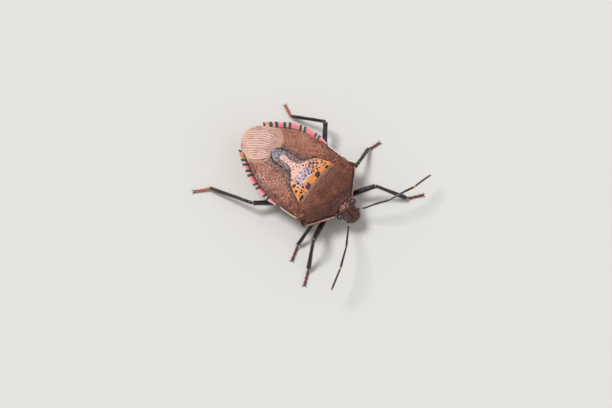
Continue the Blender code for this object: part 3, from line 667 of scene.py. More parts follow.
def make_scutellum(look):
    def top(u, v):
        x, y = scutellum_plan(u, v)
        out = abs(2 * u - 1)
        z = dorsal(x, y) + 0.22 * ease(y, -2.6, -1.4) * ease(y, 1.6, 0.0) * (1 - out * out)
        z += 0.03 + 0.05 * (1 - out ** 2) * ease(y, 0.6, 1.4)
        z -= 0.22 * ease(y, -2.35, -2.75) + 0.10 * out ** 6
        z -= 0.05 * (hill(x, tongue_right(y), 0.12) + hill(x, tongue_left(y), 0.12)) * ease(y, 0.0, 0.8) \
            * ease(y, 3.7, 3.2)
        z -= 0.03 * hill(gold_line(x, y), 0.0, 0.15)
        z -= 0.05 * max(spot(x, y, (px, py), 0.8 * r, 0.06) for px, py, r in SCUTELLUM_PITS)
        z += 0.035 * waves(x, y, 0.55, 5.0) + 0.02 * waves(x, y, 0.22, 6.0)
        return x, y, z

    def bottom(u, v):
        x, y = scutellum_plan(u, v)
        return x, y, dorsal(x, y) - 0.45

    return piece(plate(150, 190, top, bottom, scutellum_masks), "scutellum_plate", look, "scutellum_cuticle",
                 "scutellum")


def membrane_start(u):
    """Share of the wing's length where its leathery part ends."""
    return 0.735 + 0.085 * u - 0.035 * math.sin(math.pi * u)


def wing_plan(u, v):
    """Plan of the left wing. Its base, below v = 0, is tucked forward under the pronotum."""
    (ix, iy), (ox, oy) = wing_inner(v), wing_outer(v)
    tuck = ease(v, 0.66, 0.60) * (0.38 + 0.22 * hill(v, 0.27, 0.17))
    bulge = WING_TIP_BULGE * 4 * u * (1 - u) * ease(v, 0.85, 1.0)
    base = max(0.0, -v)
    return ix - tuck + (ox - ix + tuck) * u, iy + (oy - iy) * u + bulge - base


def wing_height(side, x, y, u, v):
    z = dorsal(x, y) - 0.02
    z -= 0.30 * max(0.0, -v) + 0.12 * ease(v, 0.035, 0.0)
    z -= 0.13 * ease(x - scutellum_margin(y), 0.32, 0.05) * ease(v, 0.66, 0.60)
    if side == "right":
        cover = wing_inner_x(y)
        z -= 0.20 * ease(-x, cover - 0.55, cover - 0.10) * ease(y, 4.2, 4.9)
    return z


pale_specks = near([(3.2, 1.4), (3.7, 2.4), (4.1, 3.6), (3.0, 4.0), (2.0, 4.56)])
humeral_streak = near([(5.28, -3.62), (5.22, -3.30), (5.10, -2.95)])
membrane_border = near([(0.1, 5.15), (0.87, 5.50), (1.66, 5.68), (2.40, 6.09), (2.80, 6.75), (2.95, 7.25), (2.62, 8.0),
                        (2.30, 8.7)])


def corium_masks(side):
    def masks(u, v):
        share = v * 1.06 - 0.06
        x, y = wing_plan(u, share * membrane_start(u) if share > 0 else share * 8)
        wobble = 0.10 * waves(x, y, 0.5, 4.0)
        outer = wing_edge_x(y) - x
        border = ease((1 - share) * 9 + wobble, *((0.66, 0.40) if side == "left" else (0.36, 0.16)))
        beside = 0.07 * waves(x, y, 0.6, 36.0)
        strip, shift = (0.30, 0.0) if side == "left" else (0.12, 0.40)
        return {
            # a dark strip beside the scutellum, partly a dark outline and partly painted shade of the gap there
            "edge": ease(x - scutellum_margin(y), 0.19, 0.10) * ease(y, -2.6, -1.2) * ease(share, 1.02, 0.97) * ease(waves(x, y, 0.5, 37.0), -0.5, 0.0),
            "rim": (ease(outer, strip, 0.6 * strip) * ease(y + shift, -3.3, -2.9) * ease(y + shift, -0.1, -0.7)
                    * ease(waves(x, y, 0.4, 38.0), -0.9, -0.3)),
            "groove": ease(abs(outer - strip - 0.09), 0.11, 0.05) * ease(y, -3.6, -3.2) * ease(y, 0.2, -0.8),
            "orange": max(0.8 * ease(humeral_streak(x, y) + wobble, 0.12, 0.05),
                          0.6 * ease(abs(outer - 0.38), 0.08, 0.03) * ease(y, -1.6, -2.4) * ease(waves(x, y, 0.35, 35.0), 0.0, 0.2)),
            "specks": ease(pale_specks(x, y) + 3 * wobble, 1.15, 0.25) * (1.0 if side == "right" else 0.6),
            "suture": hill(u, 0.32 - 0.05 * v, 0.012) * ease(share, 0.97, 0.9),
            # darker along the outer edge and near the base; the right wing's stronger darkening at its outer edge is
            # painted shade
            "dusk": max(ease(outer, 1.3, 0.2) * ease(y, 2.5, 0.5), 0.9 * ease(y, 0.6, -2.6),
                        (0.4 if side == "left" else 0.75) * ease(outer + 2 * wobble, 1.0, 0.35)),
            "grey": ease(u + beside, 0.42 if side == "right" else 0.28, 0.10) * ease(y, -1.6, -0.2) * ease(y, 5.4, 4.4),
            "end": border,
            "pitted": (1 - 0.85 * border) * ease(outer, 0.5 * strip, strip),
        }
    return masks


def make_corium(side, look):
    sign = 1 if side == "left" else -1

    def place(u, v):
        share = v * 1.06 - 0.06
        along = share * membrane_start(u) if share > 0 else share * 8
        return wing_plan(u, along), along

    def top(u, v):
        (x, y), along = place(u, v)
        z = wing_height(side, x, y, u, along)
        outer = wing_edge_x(y) - x
        z -= 0.05 * hill(u, 0.30 - 0.05 * v, 0.016) + 0.06 * ease(outer, 0.08, 0.0)
        z += 0.05 * hill(outer, 0.10, 0.12) * ease(y, 0.4, -0.6) - 0.04 * hill(outer, 0.26, 0.16) * ease(y, 0.4, -0.6)
        z += 0.025 * hill(u, 0.62 + 0.06 * v, 0.03) * ease(v, 0.75, 0.5)
        z += 0.03 * waves(x, y, 0.9, 7.0) + 0.012 * waves(x, y, 0.28, 8.0)
        z -= 0.05 * ease(v, 0.985, 1.0)
        return sign * x, y, z

    def bottom(u, v):
        (x, y), along = place(u, v)
        return sign * x, y, wing_height(side, x, y, u, along) - 0.22

    return piece(plate(120, 170, top, bottom, corium_masks(side)), f"corium_{side}", look, "wing_cuticle",
                 f"forewing_{side}")


def vein_wave(x, y):
    """Rises and falls across the membrane's veins, which bend round its base and then run straight."""
    across = 0.79 * x + 0.62 * y + 1.0 * math.exp(-membrane_border(x, y) / 0.7)
    across += 0.11 * waves(x, y, 0.9, 42.0) + 0.035 * waves(x, y, 0.3, 43.0)
    return math.cos(2 * math.pi * across / 0.35)


def make_membrane(side, look):
    """The thin end of the wing."""
    sign = 1 if side == "left" else -1

    def place(u, v):
        along = membrane_start(u) - 0.03 + (1.03 - membrane_start(u)) * v
        return wing_plan(u, along), along

    def edge_distance(u, along):
        return min(min(u, 1 - u) * 4.4, (1 - along) * 9)

    def top(u, v):
        (x, y), along = place(u, v)
        z = wing_height(side, x, y, u, along) - 0.05
        open_skin = ease(edge_distance(u, along), 0.08, 0.30) * ease(along - membrane_start(u), 0.004, 0.012)
        z += 0.05 * vein_wave(x, y) * open_skin
        z += 0.03 * waves(x, y, 0.8, 9.0)
        return sign * x, y, z

    def bottom(u, v):
        (x, y), along = place(u, v)
        return sign * x, y, wing_height(side, x, y, u, along) - 0.13 + 0.03 * waves(x, y, 0.8, 9.0)

    def masks(u, v):
        (x, y), along = place(u, v)
        wave = vein_wave(x, y)
        open_skin = ease(edge_distance(u, along), 0.10, 0.32)
        patchy = 0.45 + 0.55 * ease(waves(x, y, 0.5, 44.0), -0.25, 0.2)
        base = ease(membrane_border(x, y), 1.5, 0.2)
        # the pale vein crests are partly painted highlight and partly their own paler colour; the dark lines in the
        # troughs are partly painted shade and partly their own brown
        return {"vein": ease(wave, 0.0, 0.8) * open_skin * patchy,
                "line": ease(wave, -0.35, -0.85) * open_skin * max(patchy, base),
                "rim": ease(edge_distance(u, along) + 0.1 * waves(x, y, 0.5, 45.0), 0.38, 0.12),
                "dark": 0.7 * base + 0.6 * ease(waves(x, y, 0.9, 11.0), 0.0, 0.4)}

    return piece(plate(160, 200, top, bottom, masks), f"membrane_{side}", look, "wing_cuticle",
                 f"forewing_{side}")


def rim_share(joints, y):
    """Segment number and share along it of the rim at y."""
    for i, (a, b) in enumerate(zip(joints, joints[1:])):
        if y < b or i == len(joints) - 2:
            return i, (y - a) / (b - a)


def make_rim(side, look):
    """The banded rim of the abdomen, in five segments with a small tooth at the end of each."""
    sign = 1 if side == "left" else -1
    joints = RIM_JOINTS[side]
    y_start, y_end = joints[0], joints[-1] + 0.05

    def outward(y):
        slope = (half_width(y + 0.05) - half_width(y - 0.05)) / 0.1
        return Vector((1.0, -slope)).normalized()

    def depth(y):
        return 1.45 * ease(y, 9.6, 7.4) + 0.12

    def plan(u, v):
        y = y_start + (y_end - y_start) * v
        i, share = rim_share(joints, y)
        edge = half_width(y) + 0.06 * (ease(share, 0.15, 0.94) - ease(share, 0.95, 1.0)) + 0.02
        edge += (0.16 if side == "left" else 0.03) * ease(y, 2.0, 4.5) + 0.22 * ease(y, 7.0, 8.6)
        normal = outward(y)
        inward = depth(y) * (1 - u)
        return edge - normal.x * inward, y - normal.y * inward, i, share

    def top(u, v):
        x, y, i, share = plan(u, v)
        edge_y = y_start + (y_end - y_start) * v
        inward = (1 - u) * 1.45
        z = margin_height(edge_y) - 0.09 - 0.28 * ease(inward, 0.15, 0.90)
        z -= 0.10 * ease(edge_y, 1.0, -0.2)
        z -= 0.05 * ease(u, 0.94, 1.0) + 0.05 * (hill(share, 0.0, 0.035) + hill(share, 1.0, 0.035))
        z += 0.02 * waves(x, y, 0.3, 12.0)
        return sign * x + sway(edge_y), y, z

    def bottom(u, v):
        x, y, z = top(u, v)
        thin = 0.34 * ease(u, 1.0, 0.93)
        return x, y, z - 0.16 - thin

    def masks(u, v):
        x, y, i, share = plan(u, v)
        length = joints[i + 1] - joints[i]
        slant = 0.10 * (1 - u)
        start = (share + slant) * length
        finish = (1 - share - slant) * length
        wobble = 0.05 * waves(x, y, 0.25, 13.0)
        last = i == len(joints) - 2
        band = ease(abs(start - 0.30) + wobble, 0.21, 0.15)
        if last:
            band = max(band, 0.8 * ease(finish + wobble, 0.09, 0.03))
        else:
            band = max(band, ease(abs(finish - 0.30) + wobble, 0.21, 0.15))
        if i == 0:
            band = max(band * ease(share, 0.3, 0.5), ease(start, 0.16, 0.10))
        gap = ease(min(start, finish), 0.16, 0.10)
        middle = ease(u, 0.28, 0.40) * ease(u, 0.97, 0.88)
        covered = 0.66 if side == "left" else 0.50
        inward = (1 - u) * depth(y_start + (y_end - y_start) * v)
        return {"band": band, "gap": gap,
                "gold": middle * ease(min(start, finish), 0.34, 0.42) if last else gap * (i % 2) * 0.35,
                "edge": ease(u, 0.86, 0.95) * (1 - band), "last": 1.0 if last else 0.0,
                "inner": ease(inward + wobble, covered, covered + 0.10),
                "blotch": ease(waves(x, y, 0.35, 52.0), 0.0, 0.3)}

    return piece(plate(44, 300, top, bottom, masks), f"connexivum_{side}_rim", look, "rim_cuticle",
                 f"connexivum_{side}")


STERNITE_JOINTS = (-0.9, 0.65, 2.1, 3.5, 4.8, 6.1, 7.2)


def make_underbody(look):
    """The middle and hind thorax and the belly, in one skin."""
    front, rear = -4.95, 8.45

    def plan(u, v):
        y = front + (rear - front) * (1 - (1 - v) ** 1.15)
        out = 2 * u - 1
        room = half_width(y) - 0.42
        return room * math.copysign(abs(out) ** 0.9, out) + sway(y), y

    def top(u, v):
        x, y = plan(u, v)
        out = min(1.0, abs(x - sway(y)) / half_width(y))
        crown = midline_height(y) - (midline_height(y) - margin_height(y)) * out ** DORSAL_ROUNDNESS
        return x, y, crown - 0.66 - 0.14 * ease(y, -1.6, -2.4) - 0.24 * ease(out, 0.70, 0.86) * ease(y, -1.2, 0.0)

    def bottom(u, v):
        x, y = plan(u, v)
        out = abs(2 * u - 1)
        side_z = margin_height(y) - 0.95
        power = 0.95 + 0.75 * ease(y, -2.2, -0.6)
        z = keel(y) + (side_z - keel(y)) * out ** power
        for joint in STERNITE_JOINTS:
            bend = joint - 0.25 * (1 - out * out)
            z += 0.05 * hill(y, bend, 0.10) - 0.02 * ease(y, bend + 0.5, bend + 0.1) * ease(y, bend, bend + 0.1)
        z += 0.07 * hill(y, -2.55 - 0.4 * out, 0.13) * ease(out, 0.2, 0.35)
        z -= 0.03 * waves(x, y, 0.5, 14.0)
        return x, y, min(z, top(u, v)[2] - 0.08)

    def masks(u, v):
        x, y = plan(u, v)
        out = abs(2 * u - 1)
        joint = min(abs(y - (j - 0.25 * (1 - out * out))) for j in STERNITE_JOINTS)
        middle = min(abs(y - (a + b) / 2) for a, b in zip(STERNITE_JOINTS, STERNITE_JOINTS[1:]))
        return {"thorax": ease(y, -0.9, -1.2),
                "joint": ease(joint, 0.12, 0.04),
                "spiracle": ease(math.hypot(middle, (out - 0.80) * 5.4), 0.17, 0.12) * ease(y, -0.7, -0.5),
                "side": ease(out, 0.84, 0.92)}

    return piece(plate(130, 230, top, bottom, masks), "underbody", look, "underside_cuticle", "pterothorax",
                 "abdomen")


def along_points(points):
    """A smooth path through points, by share of the way."""
    curves = [smooth_through([(i / (len(points) - 1), p[k]) for i, p in enumerate(points)]) for k in range(3)]
    return lambda share: Vector([curve(share) for curve in curves])


def make_rostrum(look):
    """Four segments, folded back under the throat."""
    joints = [(0.0, -9.40, 1.92), (0.0, -8.55, 1.36), (0.0, -7.10, 1.20), (0.0, -5.60, 0.98), (0.0, -3.95, 0.90)]
    thickness = [0.25, 0.26, 0.22, 0.19, 0.10]
    parts = []
    for i in range(4):
        a, b = Vector(joints[i]), Vector(joints[i + 1])
        ra, rb = thickness[i], thickness[i + 1]
        parts.append(limb(lambda s, a=a, b=b: a.lerp(b, s),
                          lambda s, ra=ra, rb=rb: (ra + (rb - ra) * s) * (1 - 0.25 * ease(s, 0.86, 1.0)
                                                                          - 0.2 * ease(s, 0.12, 0.0)),
                          20, 24, lambda s, i=i: {"joint": ease(abs(s - 0.5), 0.44, 0.49), "end": 0.0}))
    return piece(merged(parts), "rostrum_segments", look, "leg_cuticle", "rostrum")


def make_antenna(side, look):
    joints = [Vector(p) for p in ANTENNAE[side]]
    radii = [(0.125, 0.14), (0.11, 0.15), (0.12, 0.165), (0.14, 0.15)]
    parts = []
    for i, (start, end) in enumerate(radii):
        a, b = joints[i], joints[i + 1]
        bow = 0.06 * (b - a).length * (1 if i > 0 else 0)

        def path(s, a=a, b=b, bow=bow):
            return a.lerp(b, s) + Vector((0, 0, bow * math.sin(math.pi * s)))

        def radius(s, start=start, end=end, last=(i == 3)):
            swell = start + (end - start) * ease(s, 0.0, 0.9)
            tip = 0.55 if last else 0.35
            swell *= 1 - tip * ease(s, 0.965, 1.0) - 0.30 * ease(s, 0.03, 0.0)
            return swell * (1 - 0.35 * ease(s, 0.80, 1.0)) if last else swell

        def masks(s, i=i):
            return {"base": ease(s, 0.9, 0.6) if i == 0 else 0.0,
                    "joint": ease(s, 0.93, 0.965) * (1.0 if i == 2 else 0.35) * (0.0 if i == 3 else 1.0)
                    + (ease(s, 0.05, 0.03) if i == 3 else 0.0),
                    "third": 1.0 if i == 2 else 0.0,
                    "last": 1.0 if i == 3 else 0.0}

        parts.append(limb(path, radius, 20, 60, masks))
    return piece(merged(parts), f"antenna_{side}_segments", look, "leg_cuticle", f"antenna_{side}")


def spines(path, radius_at, rows, count, length, lean, start=0.1, end=0.96, lowest=-1.0):
    """Short stiff hairs in rows along a limb, leaning towards its end. None points lower than lowest."""
    parts = bmesh.new()
    for row in range(rows):
        for i in range(count):
            share = start + (end - start) * (i + 0.5 * (row % 2) + 0.25) / count
            ahead = (path(min(1, share + 0.02)) - path(max(0, share - 0.02))).normalized()
            side = ahead.cross(Vector((0, 0, 1))).normalized()
            up = side.cross(ahead)
            turn = 2 * math.pi * (row + 0.5) / rows + 0.5 * math.sin(9.1 * share + row)
            out = side * math.cos(turn) + up * math.sin(turn)
            if out.z < lowest:
                continue
            axis = (out + ahead * lean).normalized()
            foot = path(share) + out * (radius_at(share) - 0.02)
            cone = bmesh.ops.create_cone(parts, cap_ends=True, segments=4, radius1=0.022, radius2=0.004, depth=length)
            turned = axis.to_track_quat("Z", "Y").to_matrix()
            bmesh.ops.rotate(parts, cent=Vector(), matrix=turned, verts=cone["verts"])
            bmesh.ops.translate(parts, vec=foot + axis * length / 2, verts=cone["verts"])
    return parts


def make_leg(leg, dark, foot):
    hip, knee, ankle, toe = (Vector(p) for p in LEGS[leg])
    fore = leg.startswith("fore")
    out = (knee - hip).normalized()
    down = (ankle - knee).normalized()
    ankle_radius = 0.315 if fore else 0.26

    root = hip - Vector((0.55 * math.copysign(1, hip.x), 0.0, -0.45))
    coxa = limb(lambda s: root.lerp(hip + out * 0.1, s), lambda s: 0.34 + 0.16 * hill(s, 0.45, 0.5), 24, 14,
                lambda s: {"ring": 0.0, "pale": 0.0})

    def thigh(s):
        return (hip + out * 0.05).lerp(knee, s) + Vector((0, 0, 0.10 * math.sin(math.pi * s)))

    def thigh_radius(s):
        r = 0.27 + 0.12 * ease(s, 0.06, 0.35) - 0.06 * ease(s, 0.6, 0.95)
        r -= 0.05 * hill(s, 0.075, 0.03)
        r += 0.02 * hill(s, 0.965, 0.05)
        return r * (1 - 0.5 * ease(s, 0.975, 1.0))

    femur = limb(thigh, thigh_radius, 28, 90,
                 lambda s: {"ring": 0.8 * hill(s, 0.075, 0.02) + 0.9 * ease(s, 0.982, 0.99), "pale": 0.0})

    def shin(s):
        return (knee + down * 0.02).lerp(ankle, s) + Vector((0, 0, 0.05 * math.sin(math.pi * s)))

    def shin_radius(s):
        r = 0.225 + (ankle_radius - 0.225) * ease(s, 0.25, 1.0)
        r += 0.04 * hill(s, 0.06, 0.06) - 0.06 * ease(s, 0.03, 0.0)
        return r * (1 - 0.35 * ease(s, 0.97, 1.0))

    tibia = limb(shin, shin_radius, 24, 90,
                 lambda s: {"ring": 0.8 * hill(s, 0.055, 0.018) + 0.6 * ease(s, 0.975, 0.99),
                            "pale": 0.6 * ease(s, 0.55, 1.0) if leg.startswith("hind") else 0.25 * ease(s, 0.7, 1.0)})
    hairs = spines(shin, shin_radius, 6, 26, 0.15, 0.9)
    thigh_hairs = spines(thigh, thigh_radius, 5, 14, 0.11, 1.2, 0.2)
    spur_root = ankle - down * 0.22
    flat = Vector((toe.x - ankle.x, toe.y - ankle.y, 0.0)).normalized()
    aside = Vector((-flat.y, flat.x, 0.0))
    spurs = []
    for turn in (1, -1):
        base = spur_root + aside * turn * (ankle_radius - 0.08)
        tip = base + down * 0.42 + aside * turn * 0.14
        spurs.append(limb(lambda s, a=base, b=tip: a.lerp(b, s), lambda s: 0.075 * (1 - 0.8 * s), 10, 6,
                          lambda s: {"ring": 1.0, "pale": 0.0}))
    piece(merged([coxa, femur, thigh_hairs]), f"femur_{leg}_skin", dark, "leg_cuticle", f"femur_{leg}")
    piece(merged([tibia, hairs] + spurs), f"tibia_{leg}_skin", dark, "leg_cuticle", f"tibia_{leg}")

    start = ankle + (toe - ankle).normalized() * 0.12
    hind = leg.startswith("hind")
    # the fore and middle feet are darker in their own colour
    dusk = 0.0 if hind else 1.0
    slim = 1.0 if hind else 0.84
    sole_height = 0.20 * slim
    marks = [(0.0, 0.36), (0.36, 0.64), (0.64, 1.0)]
    parts = []
    for i, (a_share, b_share) in enumerate(marks):
        def sole(s, a=a_share, b=b_share):
            place = a + (b - a) * s
            point = start.lerp(toe, place)
            point.z = sole_height + (start.z - sole_height) * ease(place, 0.24, 0.0)
            return point

        def girth(s, i=i):
            r = 0.17 + 0.05 * ease(s, 0.1, 0.85)
            return slim * r * (1 - 0.30 * ease(s, 0.90, 1.0) - 0.2 * ease(s, 0.1, 0.0))

        parts.append(limb(sole, girth, 20, 26,
                          lambda s: {"joint": ease(s, 0.88, 0.97) + ease(s, 0.06, 0.0), "claw": 0.0, "dusk": dusk},
                          floor=0.0))
        parts.append(spines(sole, girth, 6, 7, 0.12, 1.0, 0.1, 0.9, -0.1))
    end = Vector((toe.x, toe.y, sole_height)) - flat * 0.06
    for turn in (1, -1):
        points = [end, end + flat * 0.18 + aside * turn * 0.10 + Vector((0, 0, 0.05)),
                  end + flat * 0.35 + aside * turn * 0.24 + Vector((0, 0, -0.02)),
                  end + flat * 0.43 + aside * turn * 0.28 + Vector((0, 0, -0.13))]
        parts.append(limb(along_points(points), lambda s: 0.085 * (1 - 0.8 * s), 12, 14,
                          lambda s: {"joint": 0.0, "claw": ease(s, 0.1, 0.4), "dusk": dusk}, floor=0.0))
        parts.append(ball(end + flat * 0.14 + aside * turn * 0.09 - Vector((0, 0, 0.10 * slim)), (0.09, 0.09, 0.07), 3))
    piece(merged(parts), f"tarsus_{leg}_segments", foot, "foot_cuticle", f"tarsus_{leg}")


# Finishes. Colours are linear red, green and blue.

def brown_shell():
    return shell("brown_shell", (0.104, 0.029, 0.016), (0.218, 0.068, 0.038),
                 streaks=((0.30, 1.0, 1.0), (0.260, 0.092, 0.054), 0.42),
                 # the second coat is painted shade on the pronotum's front and right side
                 coats=[("blush", (0.310, 0.112, 0.074), 0.68), ("dusk", (0.080, 0.025, 0.016), 0.66),
                        ("callus", (0.080, 0.027, 0.019), 0.5), ("pale", (0.40, 0.255, 0.195), 0.80),
                        ("collar", (0.42, 0.16, 0.06), 0.45), ("orange", (0.50, 0.17, 0.050), 0.8),
                        ("knob", (0.045, 0.012, 0.011), 0.75), ("groove", (0.006, 0.009, 0.014), 0.98),
                        ("rim", (0.74, 0.42, 0.36), 0.92), ("rosy", (0.80, 0.19, 0.17), 0.85),
                        ("amber", (0.56, 0.22, 0.070), 0.60)],
                 pits=[(4600.0, 0.42, 0.86, (0.030, 0.010, 0.008), 0.66, 0.024, "pitted"),
                       (5300.0, 0.36, 0.35, (0.38, 0.175, 0.120), 0.55, 0.0, "pitted")],
                 cloud=1100.0, rough=0.40, polish="shine")


def head_shell():
    return shell("head_shell", (0.060, 0.022, 0.019), (0.170, 0.070, 0.052),
                 coats=[("under", (0.30, 0.13, 0.06), 0.6), ("grey", (0.105, 0.112, 0.104), 0.80),
                        ("blush", (0.66, 0.36, 0.32), 0.75), ("orange", (0.55, 0.19, 0.045), 0.85),
                        ("slit", (0.010, 0.006, 0.006), 0.97)],
                 pits=[(5200.0, 0.50, 0.90, (0.022, 0.008, 0.008), 0.80, 0.022, None)],
                 cloud=2600.0, rough=0.42, pit_kind="3D")


def wing_shell():
    return shell("wing_shell", (0.325, 0.112, 0.072), (0.560, 0.215, 0.146),
                 streaks=((1.0, 0.30, 1.0), (0.620, 0.275, 0.195), 0.36),
                 # the first coat darkens the outer edge and base, on the right wing partly as painted shade
                 coats=[("dusk", (0.165, 0.054, 0.038), 0.70), ("grey", (0.155, 0.098, 0.098), 0.85),
                        ("specks", (0.54, 0.235, 0.160), 0.12), ("end", (0.62, 0.37, 0.265), 0.80),
                        ("suture", (0.09, 0.033, 0.025), 0.6), ("orange", (0.62, 0.22, 0.060), 0.70),
                        ("groove", (0.040, 0.014, 0.012), 0.8), ("rim", (0.90, 0.74, 0.66), 0.92),
                        # the last coat, beside the scutellum, is partly painted shade of the gap there
                        ("edge", (0.026, 0.012, 0.012), 0.92)],
                 pits=[(4250.0, 0.41, 0.94, (0.060, 0.015, 0.011), 0.94, 0.034, "pitted"),
                       (4300.0, 0.38, 0.38, (0.95, 0.62, 0.50), 0.85, 0.0, "specks"),
                       (4700.0, 0.36, 0.30, (0.79, 0.44, 0.34), 0.72, 0.0, "pitted")],
                 cloud=1500.0, rough=0.46, evenness=0.62)


def membrane_shell():
    return shell("membrane_shell", (0.74, 0.430, 0.350), (0.87, 0.57, 0.49),
                 coats=[("dark", (0.50, 0.240, 0.180), 0.65), ("rim", (0.72, 0.45, 0.32), 0.75),
                        # the pale coat on the vein crests is partly painted highlight; the dark coat in the troughs is
                        # partly painted shade
                        ("vein", (0.95, 0.70, 0.63), 0.85), ("line", (0.27, 0.115, 0.088), 0.70)],
                 cloud=1400.0, rough=0.34, relief=0.006)


def scutellum_shell():
    return shell("scutellum_shell", (0.86, 0.25, 0.055), (0.95, 0.42, 0.15),
                 coats=[("peach", (0.97, 0.60, 0.35), 0.66), ("red", (0.62, 0.075, 0.025), 0.85),
                        ("cream", (0.93, 0.65, 0.50), 0.88), ("flank", (0.230, 0.160, 0.180), 0.90),
                        ("blue", (0.190, 0.205, 0.270), 0.88), ("tongue", (0.90, 0.64, 0.58), 0.92),
                        ("rosy", (0.90, 0.41, 0.33), 0.74), ("lavender", (0.52, 0.38, 0.48), 0.92),
                        ("mist", (0.92, 0.70, 0.66), 0.80), ("ink", (0.150, 0.130, 0.250), 0.85),
                        ("bright", (0.94, 0.31, 0.085), 0.92), ("gold", (0.42, 0.18, 0.025), 0.85),
                        ("whitish", (0.94, 0.68, 0.56), 0.85), ("spots", (0.020, 0.010, 0.016), 0.97),
                        ("violet", (0.115, 0.045, 0.075), 0.85), ("seam", (0.030, 0.015, 0.022), 0.92),
                        # the last coat is the dark margin line, partly painted shade of the gap beside the wings
                        ("edge", (0.022, 0.012, 0.014), 0.92)],
                 pits=[(3700.0, 0.42, 0.25, (1.00, 0.74, 0.46), 0.80, 0.0, "pitted"),
                       (2600.0, 0.38, 0.34, (0.030, 0.011, 0.010), 0.97, 0.04, "pitted"),
                       (4100.0, 0.42, 0.80, (0.035, 0.025, 0.040), 0.88, 0.03, "fine"),
                       (4400.0, 0.36, 0.45, (0.72, 0.58, 0.62), 0.75, 0.0, "fine"),
                       (3300.0, 0.38, 0.60, (0.25, 0.08, 0.10), 0.88, 0.02, "core")],
                 cloud=1900.0, rough=0.40)


def rim_shell():
    return shell("rim_shell", (1.00, 0.200, 0.280), (1.00, 0.360, 0.390),
                 coats=[("blotch", (0.97, 0.28, 0.30), 0.5), ("last", (1.00, 0.54, 0.46), 0.92),
                        ("gap", (0.96, 0.55, 0.42), 0.92), ("gold", (0.66, 0.42, 0.11), 0.85),
                        ("edge", (0.96, 0.62, 0.58), 0.65), ("inner", (0.28, 0.110, 0.066), 0.92),
                        ("band", (0.004, 0.090, 0.100), 0.98)],
                 pits=[(6200.0, 0.34, 0.50, (0.70, 0.080, 0.150), 0.30, 0.012, None)],
                 cloud=2400.0, rough=0.36)


def underside_shell():
    return shell("underside_shell", (0.48, 0.24, 0.10), (0.60, 0.34, 0.15),
                 coats=[("thorax", (0.26, 0.11, 0.055), 0.75), ("side", (0.42, 0.19, 0.08), 0.7),
                        ("joint", (0.14, 0.05, 0.03), 0.7), ("spiracle", (0.012, 0.008, 0.008), 0.95)],
                 pits=[(4400.0, 0.44, 0.7, (0.10, 0.035, 0.020), 0.7, 0.02, None)],
                 cloud=900.0, rough=0.42, pit_kind="3D")


def leg_shell():
    return shell("leg_shell", (0.009, 0.005, 0.010), (0.026, 0.013, 0.021),
                 coats=[("pale", (0.16, 0.070, 0.052), 0.65), ("third", (0.050, 0.026, 0.032), 0.7),
                        ("last", (0.130, 0.075, 0.075), 0.85), ("base", (0.60, 0.30, 0.20), 0.85),
                        ("joint", (0.66, 0.36, 0.080), 0.95), ("ring", (0.40, 0.16, 0.10), 0.75)],
                 cloud=2400.0, rough=0.24, gloss=0.70)


def foot_shell():
    return shell("foot_shell", (0.50, 0.130, 0.105), (0.62, 0.210, 0.160),
                 # the first coat darkens the fore and middle feet, their own colour
                 coats=[("dusk", (0.075, 0.024, 0.026), 0.88), ("joint", (0.24, 0.060, 0.045), 0.6),
                        ("claw", (0.030, 0.012, 0.010), 0.95)],
                 cloud=2600.0, rough=0.40, gloss=0.2)


def eye_shell():
    return shell("eye_shell", (0.050, 0.017, 0.024), (0.095, 0.036, 0.044),
                 pits=[(24000.0, 0.30, 1.0, (0.055, 0.022, 0.028), 0.5, 0.004, None)],
                 cloud=1500.0, rough=0.20, gloss=1.0, relief=0.0, pit_kind="3D")


# Stage.

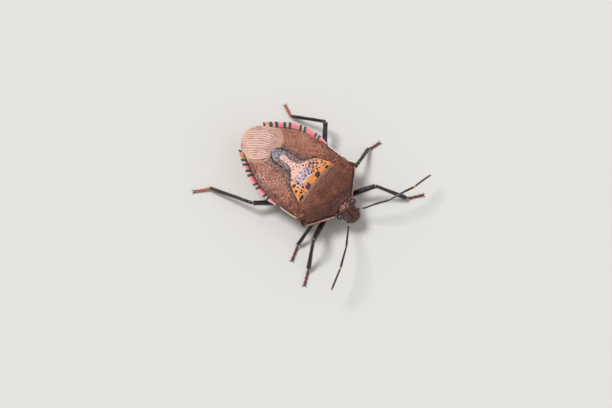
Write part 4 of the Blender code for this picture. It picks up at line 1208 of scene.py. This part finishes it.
def make_floor():
    bm = bmesh.new()
    bmesh.ops.create_circle(bm, cap_ends=True, segments=96, radius=2.0)
    mesh = bpy.data.meshes.new("floor")
    bm.to_mesh(mesh)
    bm.free()
    paper = bpy.data.materials.new("floor_paper")
    paper.use_nodes = True
    shader = paper.node_tree.nodes["Principled BSDF"]
    shader.inputs["Base Color"].default_value = (0.80, 0.79, 0.76, 1.0)
    shader.inputs["Roughness"].default_value = 0.85
    mesh.materials.append(paper)
    floor = bpy.data.objects.new("floor", mesh)
    floor.location.z = -0.00002
    bpy.context.scene.collection.objects.link(floor)
    floor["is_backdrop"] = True


def aim(obj, eye, target):
    obj.location = eye
    obj.rotation_euler = (Vector(target) - Vector(eye)).to_track_quat("-Z", "Y").to_euler()


CAMERA_EYE = Vector((-59.4215, -45.925, 224.925)) * MM
CAMERA_TARGET = Vector((-1.8045, -0.498, -0.888)) * MM


def make_camera():
    data = bpy.data.cameras.new("camera")
    data.lens = 100.0
    data.sensor_width = 36.0
    data.clip_start = 0.001
    camera = bpy.data.objects.new("camera", data)
    bpy.context.scene.collection.objects.link(camera)
    aim(camera, CAMERA_EYE, CAMERA_TARGET)
    bpy.context.scene.camera = camera


def make_lights():
    back = (CAMERA_EYE - CAMERA_TARGET).normalized()
    right = Vector((0.618, -0.786, 0.0))
    up = back.cross(right)
    suns = [("key", back * 0.80 - right * 0.40 + up * 0.50, 1.95, 20.0), ("fill", back * 0.7 + right * 0.7, 0.40, 60.0)]
    for name, towards, strength, width in suns:
        data = bpy.data.lights.new(name, "SUN")
        data.energy = strength
        data.angle = math.radians(width)
        lamp = bpy.data.objects.new(name, data)
        bpy.context.scene.collection.objects.link(lamp)
        aim(lamp, towards * 0.2, Vector())
    world = bpy.data.worlds.new("studio")
    world.use_nodes = True
    world.node_tree.nodes["Background"].inputs["Color"].default_value = (1.0, 0.99, 0.97, 1.0)
    world.node_tree.nodes["Background"].inputs["Strength"].default_value = 0.34
    bpy.context.scene.world = world
    bpy.context.scene.view_settings.view_transform = "Standard"


def main():
    brown, wing, membrane = brown_shell(), wing_shell(), membrane_shell()
    rim, under, dark, foot, eye = rim_shell(), underside_shell(), leg_shell(), foot_shell(), eye_shell()
    make_pronotum(brown)
    make_head(head_shell())
    make_scutellum(scutellum_shell())
    make_underbody(under)
    make_rostrum(dark)
    for side in ("left", "right"):
        make_eye(side, eye)
        make_corium(side, wing)
        make_membrane(side, membrane)
        make_rim(side, rim)
        make_antenna(side, dark)
    for leg in LEGS:
        make_leg(leg, dark, foot)
    make_floor()
    make_camera()
    make_lights()


main()
boxes = [[list(corner) for corner in box] for box in (cad_box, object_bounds())]
